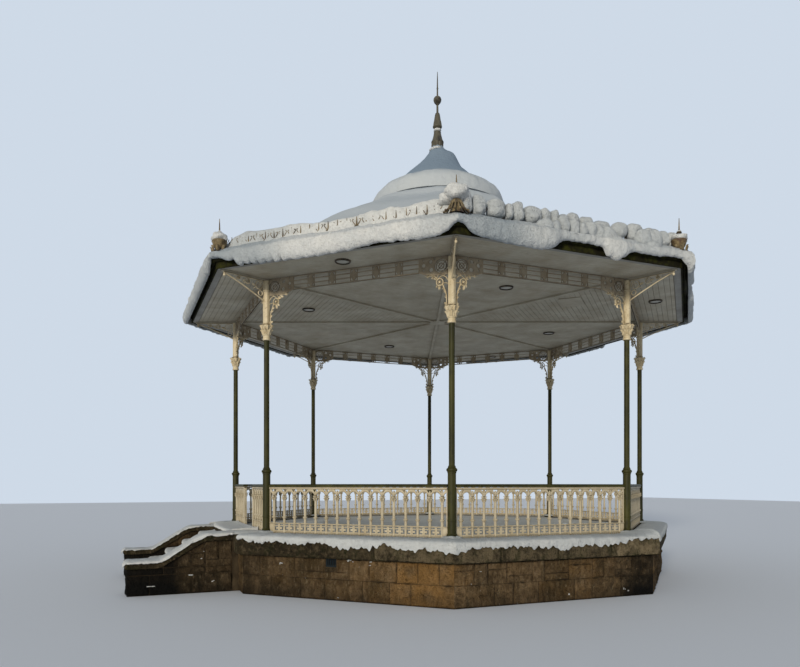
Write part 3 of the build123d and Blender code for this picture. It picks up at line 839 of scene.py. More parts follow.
balusterRings = (
    (0.012, 0.03), (0.022, 0.04), (0.024, 0.05), (0.02, 0.06), (0.02, 0.2), (0.027, 0.208), (0.027, 0.218),
    (0.018, 0.226), (0.017, 0.245), (0.024, 0.262), (0.02, 0.278), (0.03, 0.296), (0.042, 0.308),
    (0.043, 0.316), (0.034, 0.324), (0.022, 0.332), (0.02, 0.35), (0.0235, 0.372), (0.022, 0.42),
    (0.019, 0.585), (0.019, 0.6), (0.025, 0.606), (0.025, 0.614), (0.019, 0.62), (0.019, 0.69), (0.03, 0.7),
    (0.03, 0.71), (0.018, 0.716), (0.014, 0.78),
)
balusterShape = joined([turnedShape(balusterRings, 10)] + leafCrowns(fence["leafRows"]))


# (baluster, middle of the bay, whether its arch fits between the ends, whether its band does)
def bays(low, high):
    first = fence["inset"] - fence["sideLength"] / 2
    half, margin = fence["archHalf"], fence["margin"]
    for place in range(-1, fence["balusters"]):
        left = first + place * fence["pitch"]
        centre = left + fence["pitch"] / 2
        archFits = centre - half > low + margin and centre + half < high - margin
        yield left, centre, archFits, low + 0.09 < centre < high - 0.09


def fencePlate(low, high):  # the flat castings between two ends, along x
    pitch, half, pier = fence["pitch"], fence["archHalf"], fence["pier"]
    bandTop, plateTop = fence["bandTop"], fence["railTop"] - 0.004
    spring = fence["archCrown"] - half
    outer = half + fence["archWidth"]
    loops = [[(low, fence["foot"]), (high, fence["foot"]), (high, plateTop), (low, plateTop)]]
    for left, centre, archFits, bandFits in bays(low, high):
        if archFits:
            near, far = left + pier, left + pitch - pier
            arch = arcPath((centre, spring), half, 0, 180, 10)
            corners = [(near, bandTop), (far, bandTop), (far, spring - 0.02)]
            loops.append(corners + arch + [(near, spring - 0.02)])
        if low + 0.06 < left < high - 0.06:  # the open wedge over a pier
            wide, wedgeTop = pitch / 2 - outer * 0.55, fence["archCrown"] + 0.036
            lowest = spring + outer * 0.62
            loops.append([
                (left + wide, wedgeTop), (left - wide, wedgeTop), (left - 0.03, lowest + 0.018),
                (left, lowest),
                (left + 0.03, lowest + 0.018),
            ])
        if bandFits:
            for hand in (-1, 1):
                loops += [[(centre + hand * x, z) for x, z in fence[label]] for label in ("dash", "hook")]
            for x in fence["teeth"]:
                loops.append([(centre + x + across, z) for across, z in fence["tooth"]])
    for end, hand in ((low, 1), (high, -1)):
        if abs(end) > fence["sideLength"] / 2 - 0.1:  # the half arch beside a column
            middle = end + hand * (fence["inset"] - fence["reach"] - pitch / 2)
            near, far = fence["halfArch"][-1], fence["halfArchFoot"]
            corners = [(near, bandTop), (far, bandTop), (far, spring - 0.02)]
            corners += [(away, spring + math.sqrt(half * half - away * away)) for away in fence["halfArch"]]
            loops.append([(middle + hand * away, z) for away, z in corners])
    return platePiece(loops, fence["thick"], fence["edge"])


def panelShape(low, high):
    shapes = [fencePlate(low, high)]
    half = fence["archHalf"]
    spring = fence["archCrown"] - half
    for x, centre, archFits, bandFits in bays(low, high):
        if low < x < high:
            shapes.append(moved(balusterShape, Matrix.Translation((x, 0, 0))))
        if archFits:
            arch = arcPath((centre, spring - 0.004), half + 0.01, -4, 184, 12)
            shapes.append(barShape(arch, 0.019, 0.036))
        if bandFits:
            shapes.append(barShape([(centre, 0.066), (centre, 0.204)], 0.018, 0.028))
    for foot, top, deep in fence["rails"]:
        shapes.append(softBox((low, -deep, foot), (high, deep, top), 0.004))
    return joined(shapes)


def endPost(low, high):
    return softBox((low, -0.03, 0.0), (high, 0.03, fence["railTop"]), 0.006)


reach = fence["sideLength"] / 2 - fence["reach"]
opening, postEdge = fence["opening"], fence["opening"] + fence["endPost"]
wholePanel = panelShape(-reach, reach)
leftPanel = joined([panelShape(-reach, -opening), endPost(-postEdge, -opening)])
rightPanel = joined([panelShape(opening, reach), endPost(opening, postEdge)])
panels = [("1_left", 1, leftPanel), ("1_right", 1, rightPanel)]
panels += [(str(number), number, wholePanel) for number in sideNumbers[1:]]
for label, number, panel in panels:
    place = sideMatrix(number, plan["columnLine"], plan["platform"])
    makePiece(f"fence_{label}", moved(panel, place), creamPaint, 42, (f"balustrade_{label}",))

frieze = {
    "depth": 0.235, "thick": 0.022, "pitch": 0.41, "square": 0.137, "squares": 5, "haunch": 0.3,
    "endGap": 0.0634, "ringDrop": 0.152, "ringIn": 0.175, "spokes": 8,
    "slots": ((-0.076, -0.018), (-0.147, -0.089), (-0.217, -0.16)),  # (foot, top)
    "rings": ((0.127, 0.016), (0.088, 0.013), (0.045, 0.012)),  # (radius, width)
    "discs": ((0.19, -0.07, 0.03), (0.2, -0.2, 0.034), (0.26, -0.03, 0.014)),  # (past the end, z, radius)
    "block": (0.07, -0.118),
}


def friezeShape():
    half = fence["sideLength"] / 2 - frieze["endGap"]
    depth, thick, haunch, pitch = (frieze[label] for label in ("depth", "thick", "haunch", "pitch"))
    end = pitch * (frieze["squares"] + 1) / 2 - frieze["square"] / 2 + 0.016
    outline = [(-half, 0), (-half, -haunch), (-end - 0.25, -haunch), (-end - 0.1, -0.27), (-end, -depth)]
    loops = [list(reversed(outline + [(-x, z) for x, z in reversed(outline)]))]
    shapes = []

    def addRing(centre, radius, steps, wide, deep=1.4, sections=6):
        shapes.append(barShape(
            ringPath(centre, radius, steps), wide, thick * deep, closed=True, sections=sections,
        ))

    def addSpoke(centre, turn, reaches, wide, deep):
        path = [
            (centre[0] + reach * math.cos(turn), centre[1] + reach * math.sin(turn))
            for reach in reaches
        ]
        shapes.append(barShape(path, wide, deep, sections=4))

    for place in range(frieze["squares"]):
        x = pitch * (place - (frieze["squares"] - 1) / 2)
        side = frieze["square"] / 2 - 0.012
        middle = (x, -depth / 2)
        for hand in (-1, 1):
            for up in (-1, 1):
                corners = ((side, 0.09), (0.014, 0.09), (side, 0.03))
                loops.append([(x + hand * across, middle[1] + up * rise) for across, rise in corners])
        addRing(middle, 0.044, 20, 0.012)
        for spoke in range(frieze["spokes"]):
            addSpoke(middle, 2 * math.pi * spoke / frieze["spokes"], (0.0, 0.038), 0.012, thick * 1.2)
    for place in range(frieze["squares"] + 1):
        x = pitch * (place - frieze["squares"] / 2)
        run = (pitch - frieze["square"]) / 2
        for foot, top in frieze["slots"]:
            loops.append([(x - run, foot), (x + run, foot), (x + run, top), (x - run, top)])
    for hand in (-1, 1):
        ring = (hand * (fence["sideLength"] / 2 - frieze["ringIn"]), -frieze["ringDrop"])
        loops.append(roundLoop(*ring, 0.112, 26))
        for radius, wide in frieze["rings"]:
            addRing(ring, radius - 0.002, 36, wide)
        for spoke in range(4):
            addSpoke(ring, math.pi / 4 + math.pi / 2 * spoke, (0.0, 0.04, 0.08, 0.115), 0.01, thick)
        past, z = frieze["block"]
        block = (hand * (end + past), z)
        loops.append(roundLoop(*block, 0.03, 12))
        addRing(block, 0.052, 20, 0.012)
        for up in (-1, 1):
            loops.append(roundLoop(block[0], z + up * 0.078, 0.013, 8))
        for past, z, radius in frieze["discs"]:
            disc = (hand * (end + past), z)
            loops.append(roundLoop(*disc, radius, 12))
            addRing(disc, radius + 0.004, 14, 0.008, 1.3, 5)
    for z in (-0.008, -depth + 0.008):
        shapes.append(softBox((-end, -thick * 0.75, z - 0.008), (end, thick * 0.75, z + 0.008), 0.003))
    return joined([platePiece(loops, thick, 0.003)] + shapes)


friezeRing = onEachSide(friezeShape(), plan["columnLine"], plan["ceiling"])
makePiece("friezeBand", friezeRing, shadedFriezePaint, 40, ("friezes",))

boards = {
    "width": 0.1, "gap": 0.0035, "border": 0.125, "drop": 0.006, "start": 0.15, "thick": 0.02,
    # flat eight-sided sheets: (apothem, foot, top)
    "sheets": ((0.18, 0.0, 0.025), (5.04, 0.019, 0.03)),
}


def boardSection(near, far, gap, lift=0.0):
    edges = ((near, boards["thick"]), (near, 0.004 - lift), (near + gap, 0 - lift))
    return edges + ((far - gap, 0 - lift), (far, 0.004 - lift), (far, boards["thick"]))


def mitred(section):  # a section of (distance out, height) drawn across one side between its mitres
    return lofted([[(hand * out * math.tan(halfTurn), -out, z) for out, z in section] for hand in (-1, 1)])


def flatSheet(apothem, foot, top):
    return turnedShape([(apothem / math.cos(halfTurn), z) for z in (foot, top)], 8, halfTurn)


def boardsShape():
    shapes = []
    edge = plan["eavesLine"] - boards["border"]
    for number in sideNumbers:
        place = sideMatrix(number, 0, plan["ceiling"])
        distance = boards["start"]
        while distance < edge - 0.02:
            far = min(distance + boards["width"], edge)
            shapes.append(moved(mitred(boardSection(distance + boards["gap"], far, boards["gap"])), place))
            distance = far
    for sheet in boards["sheets"]:
        shapes.append(moved(flatSheet(*sheet), Matrix.Translation((0, 0, plan["ceiling"]))))
    return joined(shapes)


def borderShape():
    edge = plan["eavesLine"] - boards["border"]
    section = boardSection(edge + 0.008, plan["eavesLine"], boards["gap"], boards["drop"])
    return onEachSide(mitred(section), 0, plan["ceiling"])


makePiece("soffitBoards", boardsShape(), boardPaint, None, ("ceiling",))
makePiece("soffitBorder", borderShape(), borderPaint, None)

lights = {"odd": 2.94, "even": 4.56}  # distances out
rimRings = (
    (0.106, 0.0), (0.108, -0.018), (0.112, -0.026), (0.12, -0.03), (0.127, -0.026), (0.131, -0.016),
    (0.131, 0.0),
)
glassRings = ((0.11, 0.0), (0.11, -0.008), (0.1, -0.014), (0.06, -0.019), (0.01, -0.021))
glasses, rims = [], []
for number in sideNumbers:
    place = sideMatrix(number, lights["odd"] if number % 2 else lights["even"], plan["ceiling"])
    glasses.append(moved(turnedShape(glassRings, 28), place))
    rims.append(moved(turnedShape(rimRings, 28), place))
makePiece("lampGlasses", joined(glasses), lampGlass, 40, ("lights",))
makePiece("lampRims", joined(rims), darkIron, 40)

gutterSection = (
    (5.071, 5.6), (5.085, 5.588), (5.105, 5.59), (5.125, 5.602), (5.136, 5.62), (5.132, 5.645),
    (5.134, 5.665), (5.146, 5.68), (5.149, 5.692), (5.143, 5.7), (5.13, 5.7), (5.122, 5.68), (5.085, 5.68),
    (5.071, 5.69),
)
gutterRing = onEachSide(mitred(gutterSection), 0, 0)
makePiece("gutterRun", gutterRing, mossPaint, 50, ("gutter",))

cresting = {
    "line": 4.9, "foot": 5.79, "perSide": 24, "scale": 1.14,
    "curl": ((0, 0.06), (0.025, 0.095), (0.05, 0.13), (0.062, 0.15), (0.056, 0.168), (0.04, 0.162)),
    "root": ((0.085, 0.0), (0.07, 0.03), (0.035, 0.04), (0, 0.02)),
}


def fleurShape():  # one cast spike with two curling leaves, heights over its rail
    def spikeSize(share):
        return (
            0.8
            + 0.7 * math.sin(math.pi * min(1, share * 1.25)) * (share > 0.3) - 0.7 * max(0, share - 0.8) * 3
        )

    spike = smoothPath([(0, 0.0), (0, 0.06), (0.002, 0.12), (0, 0.2)], 2)
    shapes = [
        barShape(spike, 0.02, 0.014, sections=4, taper=spikeSize),
        barShape([(-0.03, 0.075), (0.03, 0.075)], 0.012, 0.018),
    ]
    for hand in (-1, 1):
        curl = smoothPath([(hand * x, z) for x, z in cresting["curl"]], 2)
        root = smoothPath([(hand * x, z) for x, z in cresting["root"]], 2)
        shapes.append(barShape(curl, 0.014, 0.012, sections=4, taper=lambda share: 1.1 - 0.5 * share))
        shapes.append(barShape(root, 0.01, 0.012, sections=4))
    return joined(shapes)


def crestingShape():
    shapes = []
    side = 2 * cresting["line"] * math.tan(halfTurn)
    fleur = fleurShape()
    for number in sideNumbers:
        matrix = sideMatrix(number, cresting["line"], cresting["foot"])
        for place in range(cresting["perSide"]):
            x = side * ((place + 0.5) / cresting["perSide"] - 0.5) * 0.985
            shapes.append(moved(
                fleur, matrix @ Matrix.Translation((x, 0, 0.02)) @ Matrix.Scale(cresting["scale"], 4),
            ))
        shapes.append(moved(
            softBox((-side / 2 + 0.02, -0.012, 0.0), (side / 2 - 0.02, 0.012, 0.026), 0.004), matrix,
        ))
    return joined(shapes)


makePiece("crestingRun", crestingShape(), ornamentPaint, 40, ("cresting",))

ornament = {
    "circle": 5.43, "domeRibs": 14, "domeLift": 0.09,
    "rings": (
        (0.05, 0.0), (0.052, 0.012), (0.04, 0.03), (0.036, 0.05), (0.046, 0.066), (0.05, 0.08),
        (0.07, 0.11), (0.1, 0.16), (0.117, 0.21), (0.124, 0.235), (0.128, 0.25), (0.122, 0.264),
        (0.1, 0.27), (0.05, 0.282), (0.026, 0.3), (0.022, 0.345), (0.03, 0.36), (0.042, 0.376),
        (0.045, 0.388), (0.038, 0.4), (0.02, 0.41), (0.013, 0.43), (0.005, 0.63),
    ),
    "leafRows": (
        (10, 0.044, 0.075, 0.085, 0.2, 0.052, 0.6, 0.0, 5), (12, 0.06, 0.1, 0.1, -0.05, 0.05, 0.3, 0.0, 5),
        (8, 0.02, 0.3, 0.02, 0.07, 0.016, 0.4, 0.0, 4), (8, 0.125, 0.06, 0.035, 0.12, 0.07, 0.9, 0.0, 5),
    ),
    "dome": (
        (0.11, 0.0), (0.1, 0.03), (0.075, 0.09), (0.07, 0.125), (0.092, 0.135), (0.094, 0.15),
        (0.086, 0.175), (0.066, 0.195), (0.03, 0.207), (0.013, 0.212), (0.012, 0.44), (0.005, 0.56),
    ),
    "rib": ((0.075, 0.155), (0.095, 0.13), (0.115, 0.085), (0.15, 0.035), (0.186, 0.008)),
}


def ornamentShape():
    return joined([turnedShape(ornament["rings"], 24)] + leafCrowns(ornament["leafRows"]))


def domeShape():  # the ornament of the nearest corner: ribs spread out under a small dome
    shapes = [turnedShape(ornament["dome"], 24)]
    for place in range(ornament["domeRibs"]):
        turn = Matrix.Rotation(2 * math.pi * (place + 0.5) / ornament["domeRibs"], 4, "Z")
        rib = barShape(smoothPath(ornament["rib"]), 0.02, 0.026, taper=lambda share: 0.8 + 0.5 * share)
        shapes.append(moved(rib, turn))
        shapes.append(moved(lumpShape((0.178, 0, 0.02), (0.02, 0.02, 0.016), place, 2.2, 8, 5, 0.1), turn))
    return joined(shapes)


cornerShape = ornamentShape()
cornerShapes = [
    moved(cornerShape, radialMatrix(number, plan["eaves"], ornament["circle"]))
    for number in sideNumbers if number != 2
]
cornerShapes.append(moved(
    domeShape(), radialMatrix(2, plan["eaves"] + ornament["domeLift"], ornament["circle"]),
))
makePiece("cornerUrns", joined(cornerShapes), ornamentPaint, 42, ("corner_ornaments",))

finial = {
    "foot": 9.29,
    "rings": (
        (0.13, 0.0), (0.136, 0.012), (0.136, 0.05), (0.126, 0.066), (0.13, 0.085), (0.134, 0.2),
        (0.14, 0.212), (0.132, 0.228), (0.12, 0.25), (0.104, 0.3), (0.088, 0.365), (0.08, 0.41),
        (0.082, 0.425), (0.066, 0.44), (0.058, 0.455), (0.058, 0.505), (0.066, 0.517), (0.094, 0.534),
        (0.103, 0.546), (0.103, 0.566), (0.096, 0.58), (0.086, 0.62), (0.072, 0.72), (0.056, 0.82),
        (0.046, 0.852), (0.032, 0.862), (0.024, 0.88), (0.022, 1.04), (0.034, 1.05), (0.034, 1.062),
        (0.05, 1.07), (0.073, 1.1), (0.087, 1.135), (0.089, 1.155), (0.084, 1.185), (0.066, 1.215),
        (0.034, 1.236), (0.018, 1.245), (0.016, 1.4), (0.024, 1.41), (0.016, 1.42), (0.012, 1.6),
        (0.006, 1.785),
    ),
    "leafRows": ((8, 0.12, 0.06, 0.022, 0.14, 0.07, 0.6), (8, 0.088, 0.566, -0.016, 0.13, 0.05, 0.3)),
}
finialShape = joined([turnedShape(finial["rings"], 32)] + leafCrowns(finial["leafRows"]))
finialShape = moved(finialShape, Matrix.Translation((0, 0, finial["foot"])))
makePiece("finialTop", finialShape, finialIron, 42, ("finial",))
print("metalwork done")

stone = {
    "step": 0.026, "farStep": 0.036, "gap": 0.003, "shallow": 0.003, "bulge": 0.04, "cell": 0.116,
    "top": 0.688, "corner": 0.07, "rounding": 0.03, "coursed": (1, 2, 6), "root": -0.012, "doorway": 1.5,
    "vent": (-0.302, -0.098, 0.532),
    # how light and how warm the stones are along a side: (metres along, share)
    "tone": {
        2: ((-1.9, 0.16), (-1.2, 0.4), (-0.4, 0.6), (0.6, 0.7), (1.3, 0.9)),
        3: ((-1.9, 0.9), (-0.9, 0.8), (0.2, 0.75), (0.9, 0.5), (1.5, 0.15), (1.9, 0.04)),
    },
    "soot": {
        2: ((-1.9, 0.5), (-1.4, 0.1), (-1.2, 0.0)), 3: ((0.95, 0.0), (1.25, 0.3), (1.5, 0.62), (1.9, 0.85)),
    },
    "warmth": {
        2: ((-1.9, 0.02), (-1.0, 0.15), (-0.2, 0.1), (0.9, 0.35), (1.2, 0.9), (1.9, 0.9)),
        3: ((-1.9, 0.4), (-1.5, 0.08), (-0.2, 0.08), (0.25, 0.25), (0.8, 0.15), (1.3, 0.0)),
    },
}
random = np.random.default_rng(7)


def stoneBlock(
    surface, low, high, bottom, topAt, seed, mitreLow=False, mitreHigh=False, cornerSeeds=(0.0, 0.0),
    size=stone["step"],
):
    # surface(along, height, push) gives the point on the wall, push metres in front of it
    across = max(4, round((high - low) / size))
    upward = max(3, round((topAt((low + high) / 2) - bottom) / size))
    points, faces = [], []
    skew = [0.006 * rough(seed, place, 0, 0.7, seed) for place in range(4)]

    def pushAt(u, z, edge):
        ease = clamped(edge / stone["rounding"]) ** 0.55
        face = (
            stone["bulge"] * (0.25 + 0.75 * abs(rough(u, seed, z, 0.19, seed)))
            + 0.014 * rough(u, seed, z, 0.07, seed + 4) + 0.006 * rough(u, z, seed, 0.03, seed)
        )
        push = stone["shallow"] + ease * max(0.0, face + 0.004)
        for mitre, place, cornerSeed in (
            (mitreLow, low, cornerSeeds[0]), (mitreHigh, high, cornerSeeds[1]),
        ):
            if mitre:
                near = 1 - eased(0.0, stone["corner"], abs(u - place))
                push += near * (0.009 + 0.006 * rough(cornerSeed * 3.7, 0, z, 0.09, cornerSeed) - push)
        return push

    for row in range(upward + 1):
        for place in range(across + 1):
            share = place / across
            u = low + (high - low) * share
            top = topAt(u)
            z = bottom + (top - bottom) * row / upward
            edges = [z - bottom, top - z]
            if not mitreLow:
                edges.append(u - low)
            if not mitreHigh:
                edges.append(high - u)
            lean = (
                (skew[0] if place == 0 and not mitreLow else 0)
                + (skew[1] if place == across and not mitreHigh else 0)
            )
            points.append(surface(u + lean * (row / upward - 0.5), z, pushAt(u, z, min(edges))))
    for row in range(upward):
        for place in range(across):
            start = row * (across + 1) + place
            faces.append((start, start + 1, start + across + 2, start + across + 1))
    border = list(range(across + 1))
    border += [(row + 1) * (across + 1) - 1 for row in range(1, upward + 1)]
    border += [upward * (across + 1) + place for place in range(across - 1, -1, -1)]
    border += [row * (across + 1) for row in range(upward - 1, 0, -1)]
    start = len(points)
    for corner in border:
        row, place = divmod(corner, across + 1)
        u = low + (high - low) * place / across
        points.append(surface(u, bottom + (topAt(u) - bottom) * row / upward, stone["root"]))
    for place, corner in enumerate(border):
        following = (place + 1) % len(border)
        faces.append((border[following], corner, start + place, start + following))
    faces.append(tuple(start + place for place in range(len(border))))
    return points, faces


# blocks that fill a grid, coursed three rows high or at random above that, as (column, row, wide, tall)
def packStones(columns, rows, taken=(), coursed=False):
    filled = {cell: True for cell in taken}
    blocks, joints = [], {}
    for row in range(rows):
        for column in range(columns):
            if (column, row) in filled:
                continue
            room = 1
            while column + room < columns and (column + room, row) not in filled:
                room += 1
            course = row < 3 or coursed
            tall = 3 if course else min(rows - row, int(random.choice((1, 1, 2, 2, 3))))
            if not course and rows - row - tall == 1 and tall < 3 and random.uniform() < 0.4:
                tall += 1
            if course:
                wide = int(random.integers(3, 7))
            else:
                wide = int(random.integers(2, 5)) if tall < 3 else 2
            wide = min(room, wide)
            if room - wide == 1:
                wide += 1
            tall = min(tall, rows - row)
            if course and column + wide in joints.get(row - 3, ()) and room > wide + 1:
                wide += 1
            joints.setdefault(row, set()).add(column + wide)
            across = range(column, column + wide)
            while any((c, r) in filled for c in across for r in range(row, row + tall)):
                tall -= 1
            filled.update({(c, r): True for c in across for r in range(row, row + tall)})
            blocks.append((column, row, wide, tall))
    return blocks


def evenLines(low, high, size):
    count = max(2, round((high - low) / size))
    return [low + (high - low) * place / count for place in range(count + 1)]


def jittered(lines, place, key):  # a joint set a little off its line, ends left alone
    inner = 0 < place < len(lines) - 1
    return lines[place] + (0.012 * rough(place * 1.31, key, 0, 0.5, 2) if inner else 0.0)


masonry = {"shapes": [], "tone": [], "warmth": [], "soot": []}


def addBlock(block, tone, warmth, sootAndShadeAt):
    masonry["shapes"].append(block)
    for x, y, z in block[0]:
        # darker towards the bottom of the wall
        lowerDarkening = 1 - eased(0.03, 0.26, z + 0.16 * rough(x, y, 0, 0.5, 2))
        masonry["soot"].append(min(1.0, sootAndShadeAt(x, y) + 0.36 * lowerDarkening))
        masonry["tone"].append(clamped(tone + 0.34 * rough(x, y, z, 0.14, 9)))
        masonry["warmth"].append(clamped(warmth * (1 + 1.1 * rough(x, y, z, 0.22, 6))))


def plinthSurface(number):
    matrix = sideMatrix(number)

    def surface(u, z, push):
        distance = plan["wallFace"] + push
        return matrix @ Vector((u * distance / plan["wallFace"], -distance, z))
    return surface


def buildPlinth():
    half = plan["wallFace"] * math.tan(halfTurn)
    gap = stone["gap"]
    for number in sideNumbers:
        surface = plinthSurface(number)
        corners = ((number - 2) % 8 + 1, number)
        rowLines = evenLines(0.0, stone["top"], stone["cell"])
        spans = [evenLines(-half, half, stone["cell"])]
        taken = []
        if number == 1:
            doorway = stone["doorway"]
            spans = [evenLines(-half, -doorway, stone["cell"]), evenLines(doorway, half, stone["cell"])]
        if number == 2:
            ventLow, ventHigh, ventFoot = stone["vent"]
            left, right = evenLines(-half, ventLow, stone["cell"]), evenLines(ventHigh, half, stone["cell"])
            spans = [left + [(ventLow + ventHigh) / 2] + right]
            taken = [(column, row) for column in (len(left) - 1, len(left)) for row in (4, 5)]
            sill = stoneBlock(
                surface, ventLow + gap, ventHigh - gap, rowLines[4] + gap, lambda u: ventFoot - gap, 3.3,
            )
            addBlock(sill, 0.3, 0.0, lambda x, y: 0.0)
        for lines in spans:
            for column, row, wide, tall in packStones(
                len(lines) - 1, len(rowLines) - 1, taken, number in stone["coursed"],
            ):
                a, b = (jittered(lines, place, row + number * 9) for place in (column, column + wide))
                if taken and min(
                    abs(lines[column] - stone["vent"][1]), abs(lines[column + wide] - stone["vent"][0]),
                ) < 1e-6:
                    a, b = lines[column], lines[column + wide]
                mitreLow, mitreHigh = abs(a + half) < 1e-6, abs(b - half) < 1e-6
                seed = float(random.uniform(0, 50))
                block = stoneBlock(
                    surface, a if mitreLow else a + gap, b if mitreHigh else b - gap, rowLines[row] + gap,
                    lambda u, z=rowLines[row + tall] - gap: z, seed, mitreLow, mitreHigh, corners,
                    stone["step"] if number < 4 else stone["farStep"],
                )
                middle = (a + b) / 2
                tone = sideValue(stone["tone"], number, middle, 0.45)
                tone += random.uniform(-0.2, 0.3)
                warmth = sideValue(stone["warmth"], number, middle, 0.15)
                warmth *= random.uniform(0.6, 1.3)
                share = random.uniform(0.75, 1.0) * (1.0 if row < 3 else 0.75)

                def sootAndShadeAt(x, y):
                    along = x * math.cos(sideTurn(number)) + y * math.sin(sideTurn(number))
                    return share * sideValue(stone["soot"], number, along, 0.0)

                addBlock(block, clamped(tone - 0.1 * (row == 0)), clamped(warmth), sootAndShadeAt)


wing = {
    "inner": 1.15, "outer": 1.5, "level": -5.19, "foot": -5.93, "end": -6.45, "high": 0.905, "low": 0.46,
    "coping": 0.095, "wallTop": 0.92, "starts": {"outer": 4.72, "inner": 4.75}, "endCell": 0.12,
    # along its length from the middle of the bandstand: how light, and how sooty; the far end is dark with
    # soot and painted shade
    "tone": ((4.7, 0.2), (5.5, 0.16), (5.95, 0.06), (6.1, 0.0)),
    "soot": ((4.7, 0.12), (5.55, 0.22), (5.72, 0.92)),
}


def wingCrown(y):  # the top of a stair side wall, below its coping
    share = eased(-wing["level"] - 0.12, -wing["foot"] + 0.12, -y)
    straight = clamped((wing["level"] - y) / (wing["level"] - wing["foot"]))
    return wing["high"] + (wing["low"] - wing["high"]) * (0.35 * straight + 0.65 * share)


def wingFaces(hand):  # the outer, inner and end surfaces of one side wall
    edge = stone["corner"] + 0.01

    def longFace(face, side):
        def surface(u, z, push):
            y = -u - push * eased(-wing["end"] - edge, -wing["end"], u)
            return Vector((hand * (wing[face] + side * push), y, z))
        return surface

    def endFace(u, z, push):
        outward = eased(wing["outer"] - edge, wing["outer"], u)
        spread = push * (outward - eased(-wing["inner"] - edge, -wing["inner"], -u))
        return Vector((hand * (u + spread), wing["end"] - push, z))

    return longFace("outer", 1), longFace("inner", -1), endFace


# soot and painted shade along a stair's side wall
def wingSootAndShade(x, y):
    return readTable(wing["soot"], -y)


def buildWings():
    gap = stone["gap"]
    for hand in (-1, 1):
        outerFace, innerFace, endFace = wingFaces(hand)
        rowLines = evenLines(0.0, wing["wallTop"], stone["cell"])
        for surface, start in ((outerFace, wing["starts"]["outer"]), (innerFace, wing["starts"]["inner"])):
            lines = evenLines(start, -wing["end"], stone["cell"])
            for column, row, wide, tall in packStones(len(lines) - 1, len(rowLines) - 1):
                a, b = lines[column], lines[column + wide]
                bottom, top = rowLines[row], rowLines[row + tall]
                while b - a > 0.05 and wingCrown(-b) < bottom + 0.035:
                    b -= 0.02
                if b - a <= 0.05:
                    continue
                mitre = abs(b + wing["end"]) < 1e-6
                crownAt = lambda u, z=top - gap: min(z, wingCrown(-u) - gap)
                seed = float(random.uniform(0, 50))
                block = stoneBlock(
                    surface, a + gap, b if mitre else b - gap, bottom + gap, crownAt, seed, False, mitre,
                    (0, 20 + hand),
                )
                tone = readTable(wing["tone"], (a + b) / 2)
                light = tone > 0.05
                tone = max(0.0, tone + random.uniform(-0.08, 0.1) * light)
                addBlock(block, tone, random.uniform(0.0, 0.12) * light, wingSootAndShade)
        lines = evenLines(wing["inner"], wing["outer"], wing["endCell"])
        rowLines = evenLines(0.0, wing["low"], wing["endCell"])
        for column, row, wide, tall in packStones(len(lines) - 1, len(rowLines) - 1):
            a, b = lines[column], lines[column + wide]
            mitreLow, mitreHigh = column == 0, column + wide == len(lines) - 1
            seed = float(random.uniform(0, 50))
            block = stoneBlock(
                endFace, a if mitreLow else a + gap, b if mitreHigh else b - gap, rowLines[row] + gap,
                lambda u, z=rowLines[row + tall] - gap: z, seed, mitreLow, mitreHigh,
                (20 + hand, 20 + hand),
            )
            # the end faces take the far end's darkest soot and painted shade
            addBlock(block, random.uniform(0.0, 0.08), 0.0, lambda x, y: wing["soot"][-1][1])


buildPlinth()
buildWings()
makePiece(
    "wallStones", joined(masonry["shapes"]), wallStone, 50,
    values={label: masonry[label] for label in ("tone", "warmth", "soot")},
)

coping = {
    "step": 0.035, "gap": 0.003, "doorway": 1.56,
    "profile": (
        (4.64, 1.003), (4.67, 1.004), (4.688, 1.0), (4.7, 0.985), (4.7, 0.96), (4.7, 0.92), (4.7, 0.88),
        (4.7, 0.84), (4.7, 0.8), (4.7, 0.76), (4.7, 0.725), (4.692, 0.7), (4.66, 0.688), (4.6, 0.687),
        (4.6, 0.72), (4.64, 0.8),
    ),
    "joints": {2: (-1.25, -0.2, 0.62), 3: (-1.15, -0.1, 0.95)},
    "light": {
        2: ((-1.9, 0.03), (0.5, 0.1), (0.8, 0.45), (1.9, 0.4)),
        3: ((-1.9, 0.55), (0.9, 0.55), (1.0, 0.95), (1.9, 0.95)),
    },
}


def trimmed(low, high, first, last, gap):  # a block's ends less the joint, and which of them are mitred
    mitreLow, mitreHigh = abs(low - first) < 1e-6, abs(high - last) < 1e-6
    return low if mitreLow else low + gap, high if mitreHigh else high - gap, mitreLow, mitreHigh


def copingBlock(number, low, high, mitreLow, mitreHigh):
    matrix = sideMatrix(number)
    loops = []
    steps = max(4, round((high - low) / coping["step"]))
    for step in range(steps + 1):
        u = low + (high - low) * step / steps
        edge = min((u - low) if not mitreLow else 1, (high - u) if not mitreHigh else 1)
        ease = clamped(edge / 0.02) ** 0.6
        loop = []
        for out, z in coping["profile"]:
            if out > 4.65:  # the face in view is worn, the back is not
                worn = (
                    0.005 + 0.008 * rough(u, number, z, 0.25, 1) + 0.007 * rough(u, z, number, 0.08, 2)
                    + 0.004 * rough(z, u, number, 0.03, 3)
                )
                out = out - 0.004 + 0.006 * ease + worn * ease
                z += 0.006 * rough(u, number, out, 0.15, 5) * ease
            loop.append(matrix @ Vector((u * out / plan["copingFace"], -out, z)))
        loops.append(loop)
    return lofted(loops)


